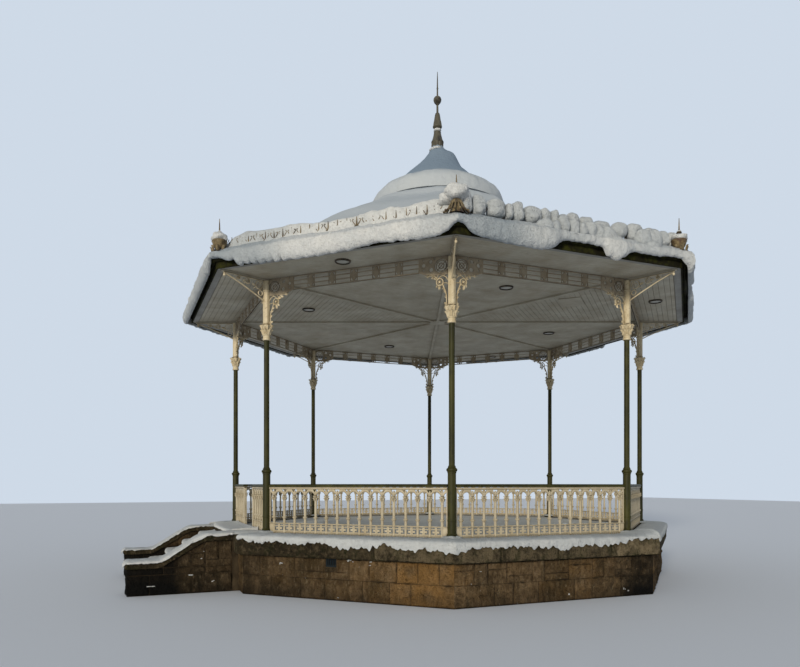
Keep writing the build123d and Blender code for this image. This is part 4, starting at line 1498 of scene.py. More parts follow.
def buildCoping():
    half = plan["copingFace"] * math.tan(halfTurn)
    doorway = coping["doorway"]
    shapes, warmth = [], []
    for number in sideNumbers:
        joints = coping["joints"].get(number, (-0.95 + 0.1 * math.sin(number), 0.02, 1.02))
        places = (-half, *joints, half)
        spans = ((-half, -doorway), (doorway, half)) if number == 1 else zip(places, places[1:])
        for a, b in spans:
            shapes.append(copingBlock(number, *trimmed(a, b, -half, half, coping["gap"])))
            light = sideValue(coping["light"], number, (a + b) / 2, 0.25)
            warmth += [clamped(light + random.uniform(-0.1, 0.1))] * len(shapes[-1][0])
    makePiece("copingStones", joined(shapes), copingStone, 50, values={"warmth": warmth})


buildCoping()

slabs = {"outer": 3.99, "row": 0.57, "long": 0.75, "gap": 0.004, "lift": 0.003, "root": -0.01}


def floorSlabs():
    shapes = []
    distance = slabs["outer"]
    gap, row = slabs["gap"], 0
    while distance > slabs["row"] + 0.1:
        near = distance - slabs["row"]
        for number in sideNumbers:
            matrix = sideMatrix(number, 0, plan["platform"])
            count = max(1, round(2 * distance * math.tan(halfTurn) / slabs["long"]))
            for place in range(count):
                left, right = 2 * place / count - 1, 2 * (place + 1) / count - 1
                outer, inner = distance - gap, near + gap
                corners = [
                    (edge * math.tan(halfTurn) * share + inset * gap, -edge)
                    for edge, share, inset in (
                        (outer, left, 1), (outer, right, -1), (inner, right, -1), (inner, left, 1),
                    )
                ]
                tilt = slabs["lift"] + 0.0015 * rough(place, number, row, 0.8, 3)
                loops = [[(x, y, z) for x, y in corners] for z in (slabs["root"], tilt - 0.001)]
                centre = Vector((sum(x for x, y in corners) / 4, sum(y for x, y in corners) / 4))
                bevel = [
                    Vector(corner) + (centre - Vector(corner)).normalized() * 0.004
                    for corner in corners
                ]
                loops.append([(*corner, tilt) for corner in bevel])
                shapes.append(moved(lofted(loops), matrix))
        distance = near
        row += 1
    middle = flatSheet(distance - gap, slabs["root"], slabs["lift"])
    shapes.append(moved(middle, Matrix.Translation((0, 0, plan["platform"]))))
    return joined(shapes)


makePiece("floorSlabs", floorSlabs(), paving, None)
print("stonework done")

roof = {
    "slope": 0.5279, "topHeight": 7.68, "underRim": 7.852, "rim": 7.905, "edge": 4.84,
    "lean": math.radians(64.6),
    "bell": ((1.45, 0.2), (1.0, 0.68), (0.67, 0.92), (0.446, 1.21), (0.21, 1.52), (0.15, 1.71)),
    # where painted shade lies on the snow: (metres along a side, share)
    "shade": {
        2: ((-2.1, 0.75), (-1.2, 0.62), (-0.7, 0.15), (-0.3, 0.0), (1.3, 0.0), (1.9, 0.3)),
        3: (
            (-2.1, 0.75), (-1.3, 0.75), (-0.9, 0.35), (-0.4, 0.3), (0.0, 0.42), (0.4, 0.1), (0.8, 0.1),
            (1.2, 0.35), (2.1, 0.3),
        ),
    },
    # the top of the snow over the bell: (apothem, height)
    "cushion": (
        (0.1, 9.37), (0.16, 9.3), (0.22, 9.21), (0.32, 9.07), (0.46, 8.93), (0.6, 8.8), (0.75, 8.66),
        (0.88, 8.53), (1.02, 8.43), (1.15, 8.37), (1.27, 8.31), (1.36, 8.23), (1.42, 8.15), (1.455, 8.07),
        (1.475, 7.99), (1.48, 7.94),
    ),
}


def shadeValues(points):  # how much painted shade, bluish and dull, lies on the snow, by side and place along it
    values = []
    for x, y, z in points:
        number = round(math.atan2(x, -y) / (2 * halfTurn)) % 8 + 1
        turn = sideTurn(number)
        along = x * math.cos(turn) + y * math.sin(turn)
        values.append(sideValue(roof["shade"], number, along, 0.45))
    return values


def roofHeight(apothem):
    return plan["eaves"] + (plan["eavesLine"] - apothem) * roof["slope"]


def octagonPoint(apothem, turn, height, rounding=0.0):
    nearest = round(turn / (2 * halfTurn)) * 2 * halfTurn
    radius = apothem / math.cos((turn - nearest) * (1 - rounding))
    return (radius * math.sin(turn), -radius * math.cos(turn), height)


# snow between a bottom and a top, in rings from the outside in
def blanket(apothems, spokes, bottomAt, topAt, rounding):
    loops = []
    for top, order in ((False, apothems), (True, list(reversed(apothems)))):
        for apothem in order:
            loop = []
            for spoke in range(spokes):
                turn = 2 * math.pi * spoke / spokes
                z = bottomAt(apothem)
                if top:
                    x, y, _ = octagonPoint(apothem, turn, 0)
                    z = max(z + 0.002, topAt(apothem, turn, x, y))
                loop.append(octagonPoint(
                    apothem, turn, z,
                    rounding(apothem) if top or apothem > 1.3 and apothems[0] < 2 else 0.0,
                ))
            loops.append(loop)
    return lofted(loops, closed=True)


def lowerTop(apothem, turn, x, y):
    left = 0.5 - 0.5 * math.sin(turn - roof["lean"])  # the snow lies thicker on the left than on the right
    thick = (0.07 + 0.05 * left) + (0.05 + 0.11 * left) * eased(3.7, 2.5, apothem)
    rim = clamped((roof["edge"] - apothem) / 0.12)
    thick *= math.sqrt(1 - (1 - rim) ** 2)
    near = eased(1.8, 1.5, apothem)  # it runs in just under the rim of the upper tier
    top = roofHeight(apothem) + thick * (1 + 0.16 * rough(x, y, 0, 0.9))
    return (
        top * (1 - near) + roof["underRim"] * near + 0.014 * rough(x, y, 3, 0.35) * (1 - near)
        + 0.005 * rough(x, y, 5, 0.09)
    )


def bellBottom(apothem):
    heights = [(-radius, high) for radius, high in roof["bell"]]
    return roof["topHeight"] + readTable(heights, -apothem / math.cos(halfTurn))


def cushionBottom(apothem):  # the rim of the cushion stands a little clear of the snow below it
    return max(bellBottom(apothem) + 0.004, roof["rim"] * (apothem > 1.3))


def bellTop(apothem, turn, x, y):
    edge = eased(0.9, 1.3, apothem)
    heap = 0.2 * math.exp(-((apothem - 0.36) / 0.15) ** 2) * max(0.0, math.sin(turn - roof["lean"])) ** 2
    top = readTable(roof["cushion"], apothem) + heap
    return uneven(top, x, y, (0.02 + 0.02 * edge, 1, 0.4), (0.006 + 0.014 * edge, 5, 0.13))


lowerRings = (
    [roof["edge"], 4.835, 4.82, 4.79, 4.74, 4.66] + [4.58 - 0.075 * step for step in range(44)] + [1.32]
)
makePiece(
    "lowerRoofSnow",
    blanket(
        lowerRings, 256, lambda apothem: roofHeight(apothem) + 0.002, lowerTop,
        lambda apothem: 0.3 * eased(4.6, 3.8, apothem),
    ),
    shadedRoofSnow, 60,
)
bellRings = (
    [1.48, 1.479, 1.475, 1.467, 1.45, 1.42, 1.38, 1.34] + [1.32 - 0.04 * step for step in range(1, 31)]
    + [0.1]
)
bellShape = blanket(bellRings, 200, cushionBottom, bellTop, lambda apothem: 0.85)
# painted shade over the upper part of the bell's snow
bellShade = [eased(1.1, 0.85, math.hypot(point[0], point[1])) for point in bellShape[0]]
makePiece("upperRoofSnow", bellShape, shadedRoofSnow, 60, values={"shade": bellShade})

eaves = {
    "step": 0.022, "inner": 4.78, "top": 5.845, "out": 5.2,
    # small hollows along the lower edge: (middle, pitch, depth, end)
    "scallops": (-1.49, 0.145, 0.045, -1.62),
    # the height of the snow's lower edge: (metres along the side, height)
    "foot": {
        1: ((-2.3, 5.46), (1.9, 5.44), (2.12, 5.6), (2.3, 5.63)),
        2: (
            (-2.3, 5.64), (-1.92, 5.6), (-1.84, 5.561), (-1.66, 5.54), (-1.58, 5.44), (-1.15, 5.43),
            (-0.7, 5.415), (-0.1, 5.415), (0.4, 5.432), (0.85, 5.468), (1.24, 5.468), (1.51, 5.435),
            (1.73, 5.444), (1.89, 5.462), (2.02, 5.52), (2.12, 5.6), (2.3, 5.64),
        ),
        3: (
            (-2.3, 5.64), (-2.06, 5.6), (-1.98, 5.54), (-1.88, 5.466), (-1.67, 5.437), (-1.34, 5.409),
            (-1.02, 5.393), (-0.72, 5.391), (-0.59, 5.424), (-0.46, 5.487), (-0.36, 5.585), (0.14, 5.6),
            (0.41, 5.57), (0.48, 5.453), (0.6, 5.41), (0.7, 5.41), (0.8, 5.47), (0.88, 5.535),
            (1.02, 5.585), (1.43, 5.57), (1.75, 5.6), (2.0, 5.6), (2.12, 5.5), (2.3, 5.48),
        ),
        4: (
            (-2.3, 5.48), (-2.1, 5.4), (-1.95, 5.4), (-1.8, 5.46), (-0.9, 5.48), (-0.7, 5.62), (0.1, 5.62),
            (0.3, 5.47), (2.3, 5.47),
        ),
        5: ((-2.3, 5.47), (-0.6, 5.45), (-0.4, 5.62), (0.6, 5.64), (0.8, 5.46), (2.3, 5.47)),
        6: ((-2.3, 5.47), (0.9, 5.45), (1.1, 5.63), (1.7, 5.63), (1.85, 5.46), (2.3, 5.46)),
        7: ((-2.3, 5.46), (-1.2, 5.47), (-1.0, 5.6), (-0.5, 5.61), (-0.3, 5.46), (2.3, 5.46)),
        8: ((-2.3, 5.46), (2.3, 5.46)),
    },
    # how far the snow bulges out over the gutter beyond the usual
    "swell": {
        2: ((-2.3, 0.0), (-1.5, 0.01), (0.6, 0.03), (2.0, 0.01), (2.3, 0.0)),
        3: (
            (-2.3, 0.0), (-1.6, 0.01), (-0.9, 0.04), (-0.55, 0.05), (-0.38, 0.0), (0.35, 0.0), (0.55, 0.04),
            (0.75, 0.04), (0.95, 0.0), (2.3, 0.0),
        ),
    },
}


def eavesSection(hang, foot, top, swell):
    return (
        (eaves["inner"], 5.848), (4.8, top + 0.03), (4.86, top + 0.035), (4.95, top + 0.012),
        (5.03, top - 0.02), (5.09, top - 0.06),
        (5.145, top - 0.105), (5.182 + 0.015 * hang + 0.5 * swell, 5.725),
        (5.196 + 0.034 * hang + swell, 5.67), (5.198 + 0.042 * hang + swell, foot + 0.6 * (5.68 - foot)),
        (5.196 + 0.038 * hang + swell, foot + 0.35 * (5.68 - foot)),
        (5.19 + 0.03 * hang + 0.8 * swell, foot + 0.15 * (5.68 - foot)),
        (5.176 + 0.02 * hang + 0.4 * swell, foot + 0.006), (5.166 + 0.01 * hang, foot),
        (5.154, foot + 0.006), (5.1525, 5.703), (5.02, 5.716), (4.9, 5.782),
    )


def stations(number, half, distance, steps, count):  # (share from -1 to 1, metres along, x, y) along a side
    matrix = sideMatrix(number)
    for step in range(count):
        share = 2 * step / steps - 1
        x, y, _ = matrix @ Vector((share * half, -distance, 0))
        yield share, share * half, x, y


def eavesRing():
    loops = []
    half = eaves["out"] * math.tan(halfTurn)
    steps = round(2 * half / eaves["step"])
    middle, pitch, depth, end = eaves["scallops"]
    for number in sideNumbers:
        matrix = sideMatrix(number)
        for share, x, wx, wy in stations(number, half, eaves["out"], steps, steps):
            low = readTable(eaves["foot"][number], x)
            hang = max(0.0, min(1.2, (5.648 - low) / 0.165))
            foot = uneven(low, wx, wy, (0.012 + 0.012 * min(1.0, hang), 1, 0.1), (0.01, 4, 0.04))
            if number == 2 and x < -0.7:
                hollow = max(0.0, math.cos(2 * math.pi * (x - middle) / pitch) - 0.3)
                foot += depth * hollow / 0.7 * (x > end)
            top = uneven(eaves["top"], wx, wy, (0.022, 2, 0.5), (0.016, 2, 0.15))
            swell = sideValue(eaves["swell"], number, x, 0.01)
            loop = []
            for out, z in eavesSection(hang, foot, top, swell):
                point = matrix @ Vector((out * math.tan(halfTurn) * share, -out, z))
                if out > 4.79 and z > foot + 0.012 and not 4.85 < out < 5.153 or z > 5.8:
                    px, py, pz = point
                    push = uneven(
                        0.0, px, py, (0.022, pz, 0.2, 2), (0.018, pz, 0.08, 6), (0.012, pz, 0.04, 9),
                    )
                    way = Vector((0, -0.8 if out > 5.1 else 0, 0.5 if z > 5.72 else 0))
                    point += (matrix.to_3x3() @ way) * push
                loop.append(point)
            loops.append(loop)
    return lofted(loops, closed=True)


eavesShape = eavesRing()
# painted shade along the eaves' snow, from the tables by side
makePiece("gutterSnow", eavesShape, snow, 60, values={"shade": shadeValues(eavesShape[0])})

comb = {
    "bankSides": {
        1: ((-2.0, 6.0), (-0.8, 6.07), (0.4, 6.03), (1.5, 6.08), (2.0, 6.03)),
        2: (
            (-2.0, 6.07), (-1.66, 6.125), (-1.38, 6.105), (-1.02, 6.1), (-0.7, 6.125), (-0.3, 6.068),
            (-0.09, 6.06), (0.15, 6.068), (0.4, 6.08), (0.65, 6.125), (0.77, 6.1), (0.96, 6.13),
            (1.22, 6.1), (1.5, 6.13), (1.77, 6.145), (2.0, 6.1),
        ),
        6: ((-2.0, 6.02), (-0.5, 6.09), (0.8, 6.04), (2.0, 6.05)),
        7: ((-2.0, 6.05), (0.0, 6.0), (1.2, 6.08), (2.0, 6.04)),
        8: ((-2.0, 6.04), (0.2, 6.09), (2.0, 6.01)),
    },
    "lumpSides": (3, 4, 5), "deep": 0.115, "bankLine": 4.78, "bankSteps": 180, "bankFoot": 5.92,
    # parts of a clump: (spread, forward, up, shares of width, depth and height, seed, power, noise)
    "clump": (
        (0, 0, 0, 1.03, 1, 1, 0, 2.7, 0.16), (0.35, -0.035, -0.35, 0.72, 0.9, 0.62, 9, 2.3, 0.2),
        (0.4, 0.03, 0.2, 0.6, 0.8, 0.8, 5, 2.2, 0.2),
    ),
    # clumps of side 3: (middle, half width, top, foot)
    "lumps": (
        (-1.88, 0.1, 6.14, 5.84), (-1.66, 0.101, 6.165, 5.836), (-1.36, 0.146, 6.149, 5.87),
        (-1.15, 0.056, 6.105, 5.86), (-1.0, 0.096, 6.165, 5.86), (-0.74, 0.138, 6.131, 5.86),
        (-0.5, 0.09, 6.137, 5.85), (-0.33, 0.075, 6.14, 5.85), (-0.18, 0.088, 6.09, 5.84),
        (0.0, 0.1, 6.13, 5.84), (0.25, 0.125, 6.124, 5.84), (0.57, 0.158, 6.1, 5.84),
        (0.9, 0.142, 6.111, 5.86), (1.22, 0.146, 6.146, 5.86), (1.56, 0.165, 6.123, 5.84),
        (1.83, 0.08, 6.115, 5.85),
    ),
    # (along, out, height, half sizes)
    "folds": (
        (-0.26, 5.02, 5.86, (0.1, 0.14, 0.16)), (-0.08, 5.03, 5.83, (0.09, 0.13, 0.17)),
        (0.08, 5.04, 5.82, (0.1, 0.12, 0.13)), (0.24, 5.02, 5.84, (0.11, 0.13, 0.17)),
        (0.4, 5.04, 5.81, (0.1, 0.13, 0.16)), (-0.62, 5.1, 5.7, (0.15, 0.1, 0.2)),
        (-0.44, 5.08, 5.72, (0.1, 0.1, 0.18)), (0.56, 5.1, 5.76, (0.16, 0.11, 0.18)),
        (0.66, 5.15, 5.62, (0.15, 0.08, 0.17)), (1.3, 5.02, 5.85, (0.16, 0.13, 0.17)),
        (1.52, 5.02, 5.85, (0.15, 0.13, 0.19)), (1.44, 5.1, 5.72, (0.16, 0.08, 0.12)),
    ),
}


def combBank(number, table):  # a bank of snow up against the spikes, some of them buried in it
    loops = []
    half, foot = comb["bankLine"] * math.tan(halfTurn), comb["bankFoot"]
    matrix = sideMatrix(number)
    for share, x, wx, wy in stations(number, half, 4.8, comb["bankSteps"], comb["bankSteps"] + 1):
        end = math.sqrt(max(0.0, 1 - (abs(x) / half) ** 12))
        crest = uneven(readTable(table, x), wx, wy, (0.02, 0, 0.22), (0.008, 0, 0.08))
        top = foot + (crest - foot) * (0.35 + 0.65 * end)
        wave = uneven(0.004, wx, wy, (0.016, 3, 0.2, 4), (0.02, 3, 0.07))
        over = uneven(0.002, wx, wy, (0.02, 7, 0.17, 5), (0.02, 7, 0.07))
        section = (
            (4.935, 5.8), (4.935 + wave, 5.84), (4.915 + wave, 5.885), (4.9 + wave, 5.94),
            (4.9 + 0.5 * (wave + over), 0.5 * 5.94 + 0.5 * (top - 0.05)), (4.898 + over, top - 0.05),
            (4.872 + 0.5 * over, top - 0.018), (4.83, top - 0.002), (4.76, top), (4.66, top - 0.012),
            (4.55, max(roofHeight(4.55) + 0.06, top - 0.03)), (4.42, roofHeight(4.42) + 0.05),
            (4.38, roofHeight(4.38) - 0.02), (4.6, roofHeight(4.6) - 0.02),
        )
        loops.append([matrix @ Vector((x, -out, z)) for out, z in section])
    return lofted(loops)


def combLumps(number):  # clumps, each on a few of the spikes and pressed against the next
    shapes = []
    half = cresting["line"] * math.tan(halfTurn) - 0.03
    matrix = sideMatrix(number, cresting["line"])
    table, big, small = comb["lumps"], (27, 18), (23, 13)
    if number != 3:
        places = np.cumsum([0.0] + [random.uniform(0.7, 1.35) for place in range(14)])
        places = -half + 2 * half * places / places[-1]
        big, small = (18, 12), (14, 8)
        table = [
            ((a + b) / 2, (b - a) / 2, random.uniform(6.1, 6.16), 5.83)
            for a, b in zip(places, places[1:])
        ]
    for place, (middle, half, top, bottom) in enumerate(table):
        lean = random.uniform(-0.015, 0.02)
        tall, deep = (top - bottom) / 2, comb["deep"]
        for spread, forward, up, wideShare, deepShare, tallShare, seed, power, noisy in comb["clump"]:
            along = middle + half * random.uniform(-spread, spread) if spread else middle
            centre = (along, lean + forward, bottom + tall + up * tall)
            sizes = (half * wideShare, deep * deepShare, tall * tallShare)
            seed += number * 20 + place * 1.37
            lump = lumpShape(centre, sizes, seed, power, *(small if spread else big), noisy)
            shapes.append(moved(lump, matrix))
    return shapes


def foldSnow():  # the clumps of side 3 that have slid forward and run down onto the eaves
    matrix = sideMatrix(3)
    return [
        moved(lumpShape((x, -out, z), sizes, 3.7 * place, 2.2, 26, 18, 0.22), matrix)
        for place, (x, out, z, sizes) in enumerate(comb["folds"])
    ]


combShapes = [combBank(number, table) for number, table in comb["bankSides"].items()]
for number in comb["lumpSides"]:
    combShapes += combLumps(number)
combShapes += foldSnow()
combShape = joined(combShapes)
# painted shade on the cresting's snow: even over side 3, from the side tables elsewhere
combShade = [
    0.6 * share if abs(math.atan2(point[0], -point[1]) - 4 * halfTurn) > halfTurn else 0.45
    for point, share in zip(combShape[0], shadeValues(combShape[0]))
]
makePiece("crestingSnow", combShape, snow, 60, values={"shade": combShade})

# caps on the corner urns and a collar on the pinnacle: (corner, height, radius, thickness, shift outward)
caps = {
    "urns": (
        (1, 6.01, 0.135, 0.085, 0.0), (2, 6.12, 0.16, 0.125, -0.05), (3, 6.0, 0.125, 0.06, 0.0),
        (4, 6.0, 0.115, 0.06, 0.0), (5, 6.01, 0.12, 0.07, 0.0), (6, 6.0, 0.11, 0.06, 0.0),
        (7, 6.0, 0.12, 0.06, 0.0), (8, 6.0, 0.12, 0.06, 0.0),
    ),
    # lumps beside the cap of the dome, and on the pinnacle: (place, half sizes, seed)
    "beside": (
        ((-0.12, 0.1, -0.03), (0.14, 0.13, 0.1), 7.1), ((-0.14, -0.12, -0.05), (0.13, 0.14, 0.09), 9.4),
    ),
    "pinnacle": (
        ((0, 0, 0.478), (0.085, 0.085, 0.04), 4.4), ((0.03, -0.06, 0.02), (0.16, 0.13, 0.05), 8.4),
    ),
    "ball": (6.11, 0.034, 0.02),
}
capShapes = []
for number, height, radius, thick, shift in caps["urns"]:
    matrix = radialMatrix(number, 0, ornament["circle"] + shift)
    lumps = [((0, 0, height), (radius, radius, thick), number * 3.3)]
    if number == 2:
        lumps += [((x, y, height + z), sizes, seed) for (x, y, z), sizes, seed in caps["beside"]]
    capShapes += [moved(lumpShape(*lump, 2.3, 22, 12, 0.3), matrix) for lump in lumps]
    height, radius, thick = caps["ball"]
    ball = lumpShape((0, 0, height), (radius, radius, thick), number * 2.1, 2.2, 10, 6, 0.1)
    capShapes.append(moved(ball, matrix))
for (x, y, z), sizes, seed in caps["pinnacle"]:
    capShapes.append(lumpShape((x, y, finial["foot"] + z), sizes, seed, 2.2, 20, 8, 0.2))
makePiece("capSnow", joined(capShapes), snow, 60)

ledge = {
    "step": 0.0195, "out": 4.71, "noise": ((0.045, 0, 0.24, 3), (0.05, 1, 0.09, 3), (0.045, 1, 0.045, 5)),
    "hang": {
        2: (
            (-1.95, 0.03), (-1.6, 0.045), (-1.0, 0.06), (-0.3, 0.055), (0.1, 0.1), (0.5, 0.085),
            (0.75, 0.05), (1.2, 0.09), (1.95, 0.1),
        ),
        3: (
            (-1.95, 0.1), (-1.5, 0.07), (-0.8, 0.06), (-0.3, 0.08), (0.1, 0.11), (0.4, 0.07), (0.8, 0.08),
            (1.25, 0.07), (1.3, 0.01), (1.95, 0.0),
        ),
    },
    "thick": {
        3: ((-1.95, 0.05), (1.2, 0.05), (1.5, 0.03), (1.8, 0.08), (1.95, 0.12)),
        4: ((-1.95, 0.12), (-1.6, 0.06), (1.95, 0.05)),
    },
}


def ledgeSnow():
    loops = []
    half = ledge["out"] * math.tan(halfTurn)
    steps = round(2 * half / ledge["step"])
    for number in sideNumbers[1:]:
        matrix = sideMatrix(number)
        for share, x, wx, wy in stations(number, half, 4.7, steps, steps + (number == 8)):
            hang = sideValue(ledge["hang"], number, x, 0.06)
            hang = max(-0.012, uneven(hang, wx, wy, *ledge["noise"]))
            thick = sideValue(ledge["thick"], number, x, 0.05)
            thick = uneven(thick, wx, wy, (0.012, 4, 0.4), (0.01, 4, 0.1))
            out = uneven(4.726, wx, wy, (0.014, 6, 0.13), (0.008, 6, 0.05))
            section = (
                (4.186, -0.004), (4.196, 0.012), (4.24, thick * 0.62), (4.34, thick * 0.9), (4.46, thick),
                (4.58, thick * 0.98), (4.65, thick * 0.8),
                (4.7, thick * 0.45), (out, -0.005), (out + 0.004, -0.02 - hang * 0.4),
                (out, -0.02 - hang * 0.8), (out - 0.006, -0.026 - hang), (4.706, -0.022 - hang),
                (4.703, -0.012), (4.66, 0.001),
            )
            section = [(o * math.tan(halfTurn) * share, -o, plan["platform"] + z) for o, z in section]
            loops.append([matrix @ Vector(point) for point in section])
    return lofted(loops)


def strip(points, wide, thick, seed, droop):  # snow lying along a line of (x, z) points, y across
    loops = []
    last = len(points) - 1
    for place, (x, z) in enumerate(points):
        end = math.sin(math.pi * min(1.0, 6.0 * min(place, last - place) / max(1, last) + 0.04) / 2)
        high = max(0.003, thick * end * (1 + 0.45 * rough(x, seed, 0, 0.16, seed)))
        half = wide / 2 * (0.75 + 0.25 * end) * (1 + 0.08 * rough(x, seed, 2, 0.1, seed))
        side = (
            (half, z - droop), (half + 0.003, z + high * 0.3), (half * 0.75, z + high * 0.8),
            (half * 0.3, z + high),
        )
        loops.append([(x, -y, up) for y, up in side] + [(x, y, up) for y, up in reversed(side)])
    return lofted(loops)


def railSnow():  # bits caught on the lower rail between the balusters
    shapes = []
    for number in sideNumbers[1:]:
        matrix = sideMatrix(number, plan["columnLine"], 0)
        for place in range(fence["balusters"] - 1):
            if random.uniform() < 0.6:
                middle = fence["inset"] - fence["sideLength"] / 2 + (place + 0.5) * fence["pitch"]
                reach = random.uniform(0.02, 0.06)
                line = [(middle + reach * (step / 5 - 1), plan["platform"] + 0.216) for step in range(11)]
                shapes.append(moved(
                    strip(line, 0.044, random.uniform(0.004, 0.012), number * 9 + place, 0.002), matrix,
                ))
    return shapes


# a ring of snow around a column's foot: (radius, height)
footRings = (
    (0.07, 0.03), (0.15, 0.03), (0.165, 0.042), (0.15, 0.055), (0.12, 0.066), (0.09, 0.074), (0.07, 0.07),
)


def footSnow():
    shapes = []
    for number in sideNumbers:
        loops = []
        for radius, z in footRings:
            loop = []
            for x, y in roundLoop(0, 0, 1, 20):
                reach = radius * (1 + 0.2 * (radius > 0.08) * rough(x, y, z * 4, 0.5, number))
                loop.append((
                    reach * x, reach * y, z + 0.012 * rough(x, y, number, 0.7, number) * (z > 0.06),
                ))
            loops.append(loop)
        shapes.append(moved(lofted(loops, closed=True), radialMatrix(number, plan["platform"])))
    return shapes


edgeShapes = [ledgeSnow()] + railSnow() + footSnow()
edgeShape = joined(edgeShapes)
# painted shade, even over all the platform's snow
makePiece("platformSnow", edgeShape, snow, 60, values={"shade": [0.3] * len(edgeShape[0])})

stair = {"going": 0.33, "half": 1.15, "thick": 0.05, "noses": 6}


def stairSnow():
    shapes = []
    for number in range(1, stair["noses"] + 1):
        nose = plan["copingFace"] + stair["going"] * (stair["noses"] - number)
        top = number * plan["platform"] / stair["noses"]
        back = nose - stair["going"] - 0.01 if number < stair["noses"] else 4.2
        loops = []
        for step in range(61):
            x = (2 * step / 60 - 1) * (stair["half"] - 0.004)  # clear of the side walls
            side = 0.03 * (abs(x) / stair["half"]) ** 6
            thick = uneven(stair["thick"] + side, x, number, (0.012, 0, 0.35, 4), (0.004, 0, 0.1, 4))
            out = uneven(nose + 0.004, x, number, (0.012, 2, 0.2, 2))
            drop = 0.012 + 0.02 * abs(rough(x, number, 5, 0.1, 2))
            loops.append([
                (x, -back, top + 0.002), (x, -back, top + thick + 0.03),
                (x, -(back + 0.06), top + thick + 0.008), (x, -(back + nose) / 2, top + thick),
                (x, -(nose - 0.04), top + thick * 0.92), (x, -(out - 0.008), top + thick * 0.6),
                (x, -(out + 0.006), top + 0.008), (x, -(out + 0.004), top - drop),
                (x, -(nose + 0.002), top - drop + 0.004), (x, -(nose + 0.001), top + 0.002),
            ])
        shapes.append(lofted(loops))
    return shapes


def wingSnow():
    shapes = []
    for hand, deep, hang in ((-1, 0.022, 0.03), (1, 0.05, 0.05)):
        loops = []
        for y in np.arange(-4.2, -6.53, -0.025):
            crown = wingCrown(y) + wing["coping"]
            if y < wing["end"]:
                crown -= 0.045 * ((wing["end"] - y) / 0.06) ** 2
            end = math.sqrt(min(1.0, max(0.02, (y + 6.545) / 0.05)))
            thick = uneven(deep, y, hand, (0.012, 0, 0.35, 4), (0.008, 7, 0.1, 4)) * end
            lip = uneven(0.006 + hang * max(0.0, rough(y, hand, 3, 0.14, 4)), y, hand, (0.018, 5, 0.05, 4))
            inner, outer = wing["inner"] - 0.05, wing["outer"] + 0.05
            if y > -4.72:
                inner, outer, lip = inner + 0.02, outer - 0.02, 0.0
            rim = (
                (-0.002, -lip), (-0.012, -lip + 0.004), (-0.014, thick * 0.25), (0.015, thick * 0.7),
                (0.08, thick * 0.97),
            )
            middle = (inner + outer) / 2
            section = [(inner + inset, z) for inset, z in rim] + [(middle, thick * 1.06)]
            section += [(outer - inset, z) for inset, z in reversed(rim)]
            section += [(outer + 0.001, 0.001), (middle, 0.001), (inner - 0.001, 0.001)]
            loops.append([(hand * x, y, crown + z) for x, z in section])
        shapes.append(lofted(loops))
    return shapes


makePiece("stairSnow", joined(stairSnow() + wingSnow()), snow, 60)

# small bits of snow caught on the stones
specks = {
    # (side, metres along, height, size)
    "walls": (
        (2, -1.13, 0.56, 0.02), (2, -1.1, 0.38, 0.01), (2, 0.15, 0.665, 0.022), (2, 0.21, 0.65, 0.016),
        (2, 0.52, 0.66, 0.02), (2, 0.51, 0.6, 0.014), (2, 0.33, 0.57, 0.008), (2, -0.06, 0.06, 0.012),
        (3, -1.45, 0.55, 0.012), (3, 0.17, 0.11, 0.022), (3, 1.29, 0.13, 0.024), (3, 1.35, 0.09, 0.018),
        (3, -1.46, 0.26, 0.008),
    ),
    "strays": 22, "strayRows": (0.35, 0.03),
    # on the stair's side walls: (y, height, size), and lines in the joints: (from y, to y, height, slope)
    "wings": ((-5.25, 0.6, 0.018), (-5.21, 0.72, 0.01), (-5.44, 0.32, 0.022), (-5.41, 0.318, 0.02)),
    "joints": ((-5.07, -4.97, 0.19, 0.45), (-6.2, -6.02, 0.158, 0.0)), "perJoint": 9,
}


def speckSnow():
    shapes = []
    for number, u, z, size in specks["walls"]:
        for part in range(3):
            along, high = (random.uniform(-most, most) * size for most in (1.2, 0.6))
            place = plinthSurface(number)(u + along, z + high, 0.02)
            radius = size * random.uniform(0.4, 0.9)
            seed = u + number + radius
            shapes.append(lumpShape(place, (radius, radius, radius * 0.6), seed, 2.1, 10, 6, 0.5))
    half = plan["wallFace"] * math.tan(halfTurn)
    for count in range(specks["strays"]):
        number = int(random.integers(2, 9))
        size = random.uniform(0.005, 0.012)
        along = random.uniform(-half, half)
        high = random.choice(specks["strayRows"]) + random.uniform(-0.01, 0.03)
        place = plinthSurface(number)(along, high, 0.016)
        shapes.append(lumpShape(place, (size, size, size * 0.7), count * 1.7, 2.1, 8, 5, 0.5))
    for hand in (-1, 1):
        face = hand * (wing["outer"] + 0.014)
        for y, z, size in specks["wings"]:
            shapes.append(lumpShape((face, y, z), (size, size * 1.2, size * 0.5), y * 7, 2.1, 10, 6, 0.4))
        for low, high, z, rise in specks["joints"]:
            for step in range(specks["perJoint"]):
                y = low + (high - low) * step / (specks["perJoint"] - 1)
                place = (face, y, z + (y - low) * rise)
                shapes.append(lumpShape(place, (0.01, 0.016, 0.0075), y * 9, 2.1, 8, 5, 0.4))
    return joined(shapes)


makePiece("speckSnow", speckSnow(), snow, 60)
print("snow done")

floorMesh = bpy.data.meshes.new("floorPlane")
floorMesh.from_pydata(
    [(-60, -60, -0.001), (60, -60, -0.001), (60, 60, -0.001), (-60, 60, -0.001)], [], [(0, 1, 2, 3)],
)
floorPlane = placed("floorPlane", floorMesh)
floorMesh.materials.append(finishMaterial("paleFloor", (0.74, 0.77, 0.82), 0.9))

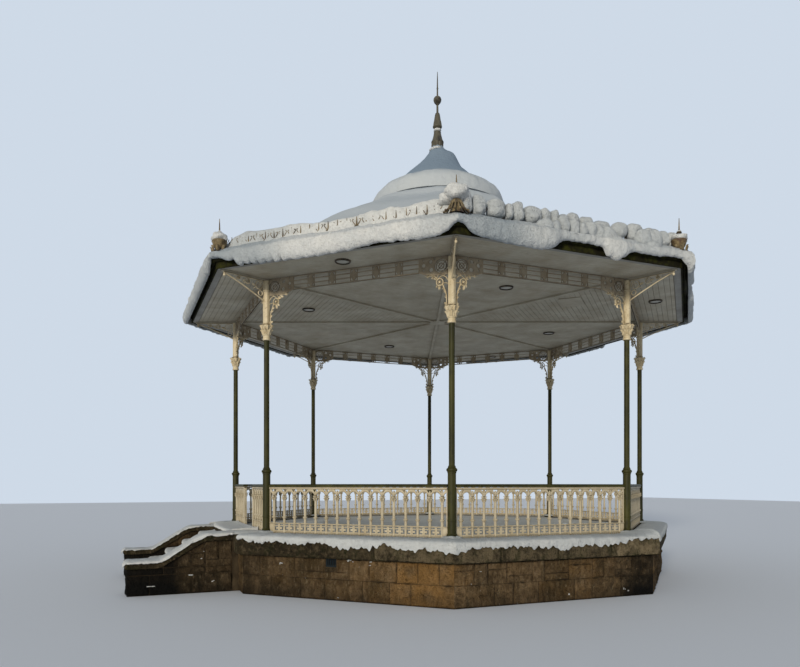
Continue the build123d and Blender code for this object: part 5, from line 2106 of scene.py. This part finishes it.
light = {
    "sun": {"turn": 47, "rise": 13, "strength": 2.3, "size": 8, "colour": (1.0, 0.92, 0.78)},
    "sky": {"colour": (0.82, 0.9, 1.0), "strength": 0.38, "backdrop": (0.62, 0.7, 0.8)},
}
world = bpy.data.worlds.new("studio")
bpy.context.scene.world = world
world.use_nodes = True
worldTree = world.node_tree
background = worldTree.nodes["Background"]
feed(worldTree, light["sky"]["colour"], background.inputs["Color"])
background.inputs["Strength"].default_value = light["sky"]["strength"]
seen = worldTree.nodes.new("ShaderNodeBackground")
feed(worldTree, light["sky"]["backdrop"], seen.inputs["Color"])
seen.inputs["Strength"].default_value = 1.0
rays = worldTree.nodes.new("ShaderNodeLightPath").outputs
mirrored = mathNode(worldTree, "MAXIMUM", rays["Is Glossy Ray"], rays["Is Transmission Ray"])
direct = mathNode(worldTree, "MAXIMUM", rays["Is Camera Ray"], mirrored)
chosen = worldTree.nodes.new("ShaderNodeMixShader")
for place, socket in enumerate((direct, background.outputs[0], seen.outputs[0])):
    worldTree.links.new(socket, chosen.inputs[place])
worldTree.links.new(chosen.outputs[0], worldTree.nodes["World Output"].inputs["Surface"])

sun = bpy.data.lights.new("lowSun", "SUN")
sun.energy = light["sun"]["strength"]
sun.angle = math.radians(light["sun"]["size"])
sun.color = light["sun"]["colour"]
sunHolder = placed("lowSun", sun)
sunWay = (
    directionAt(math.radians(light["sun"]["turn"]))
    + Vector((0, 0, math.tan(math.radians(light["sun"]["rise"]))))
)
sunHolder.rotation_euler = sunWay.to_track_quat("Z", "Y").to_euler()

view = {
    "place": (13.897, -6.596, 1.901),
    "forward": (-0.92533, 0.37917, 0.0),
    "lens": 31.01,
    "shiftY": 0.1874,
}
camera = bpy.data.cameras.new("photoCamera")
camera.lens = view["lens"]
camera.sensor_width = 36
camera.shift_y = view["shiftY"]
cameraHolder = placed("photoCamera", camera)
cameraHolder.location = view["place"]
cameraHolder.rotation_euler = Vector(view["forward"]).to_track_quat("-Z", "Y").to_euler()
bpy.context.scene.camera = cameraHolder
bpy.context.scene.view_settings.view_transform = "Standard"
print("light and camera done")
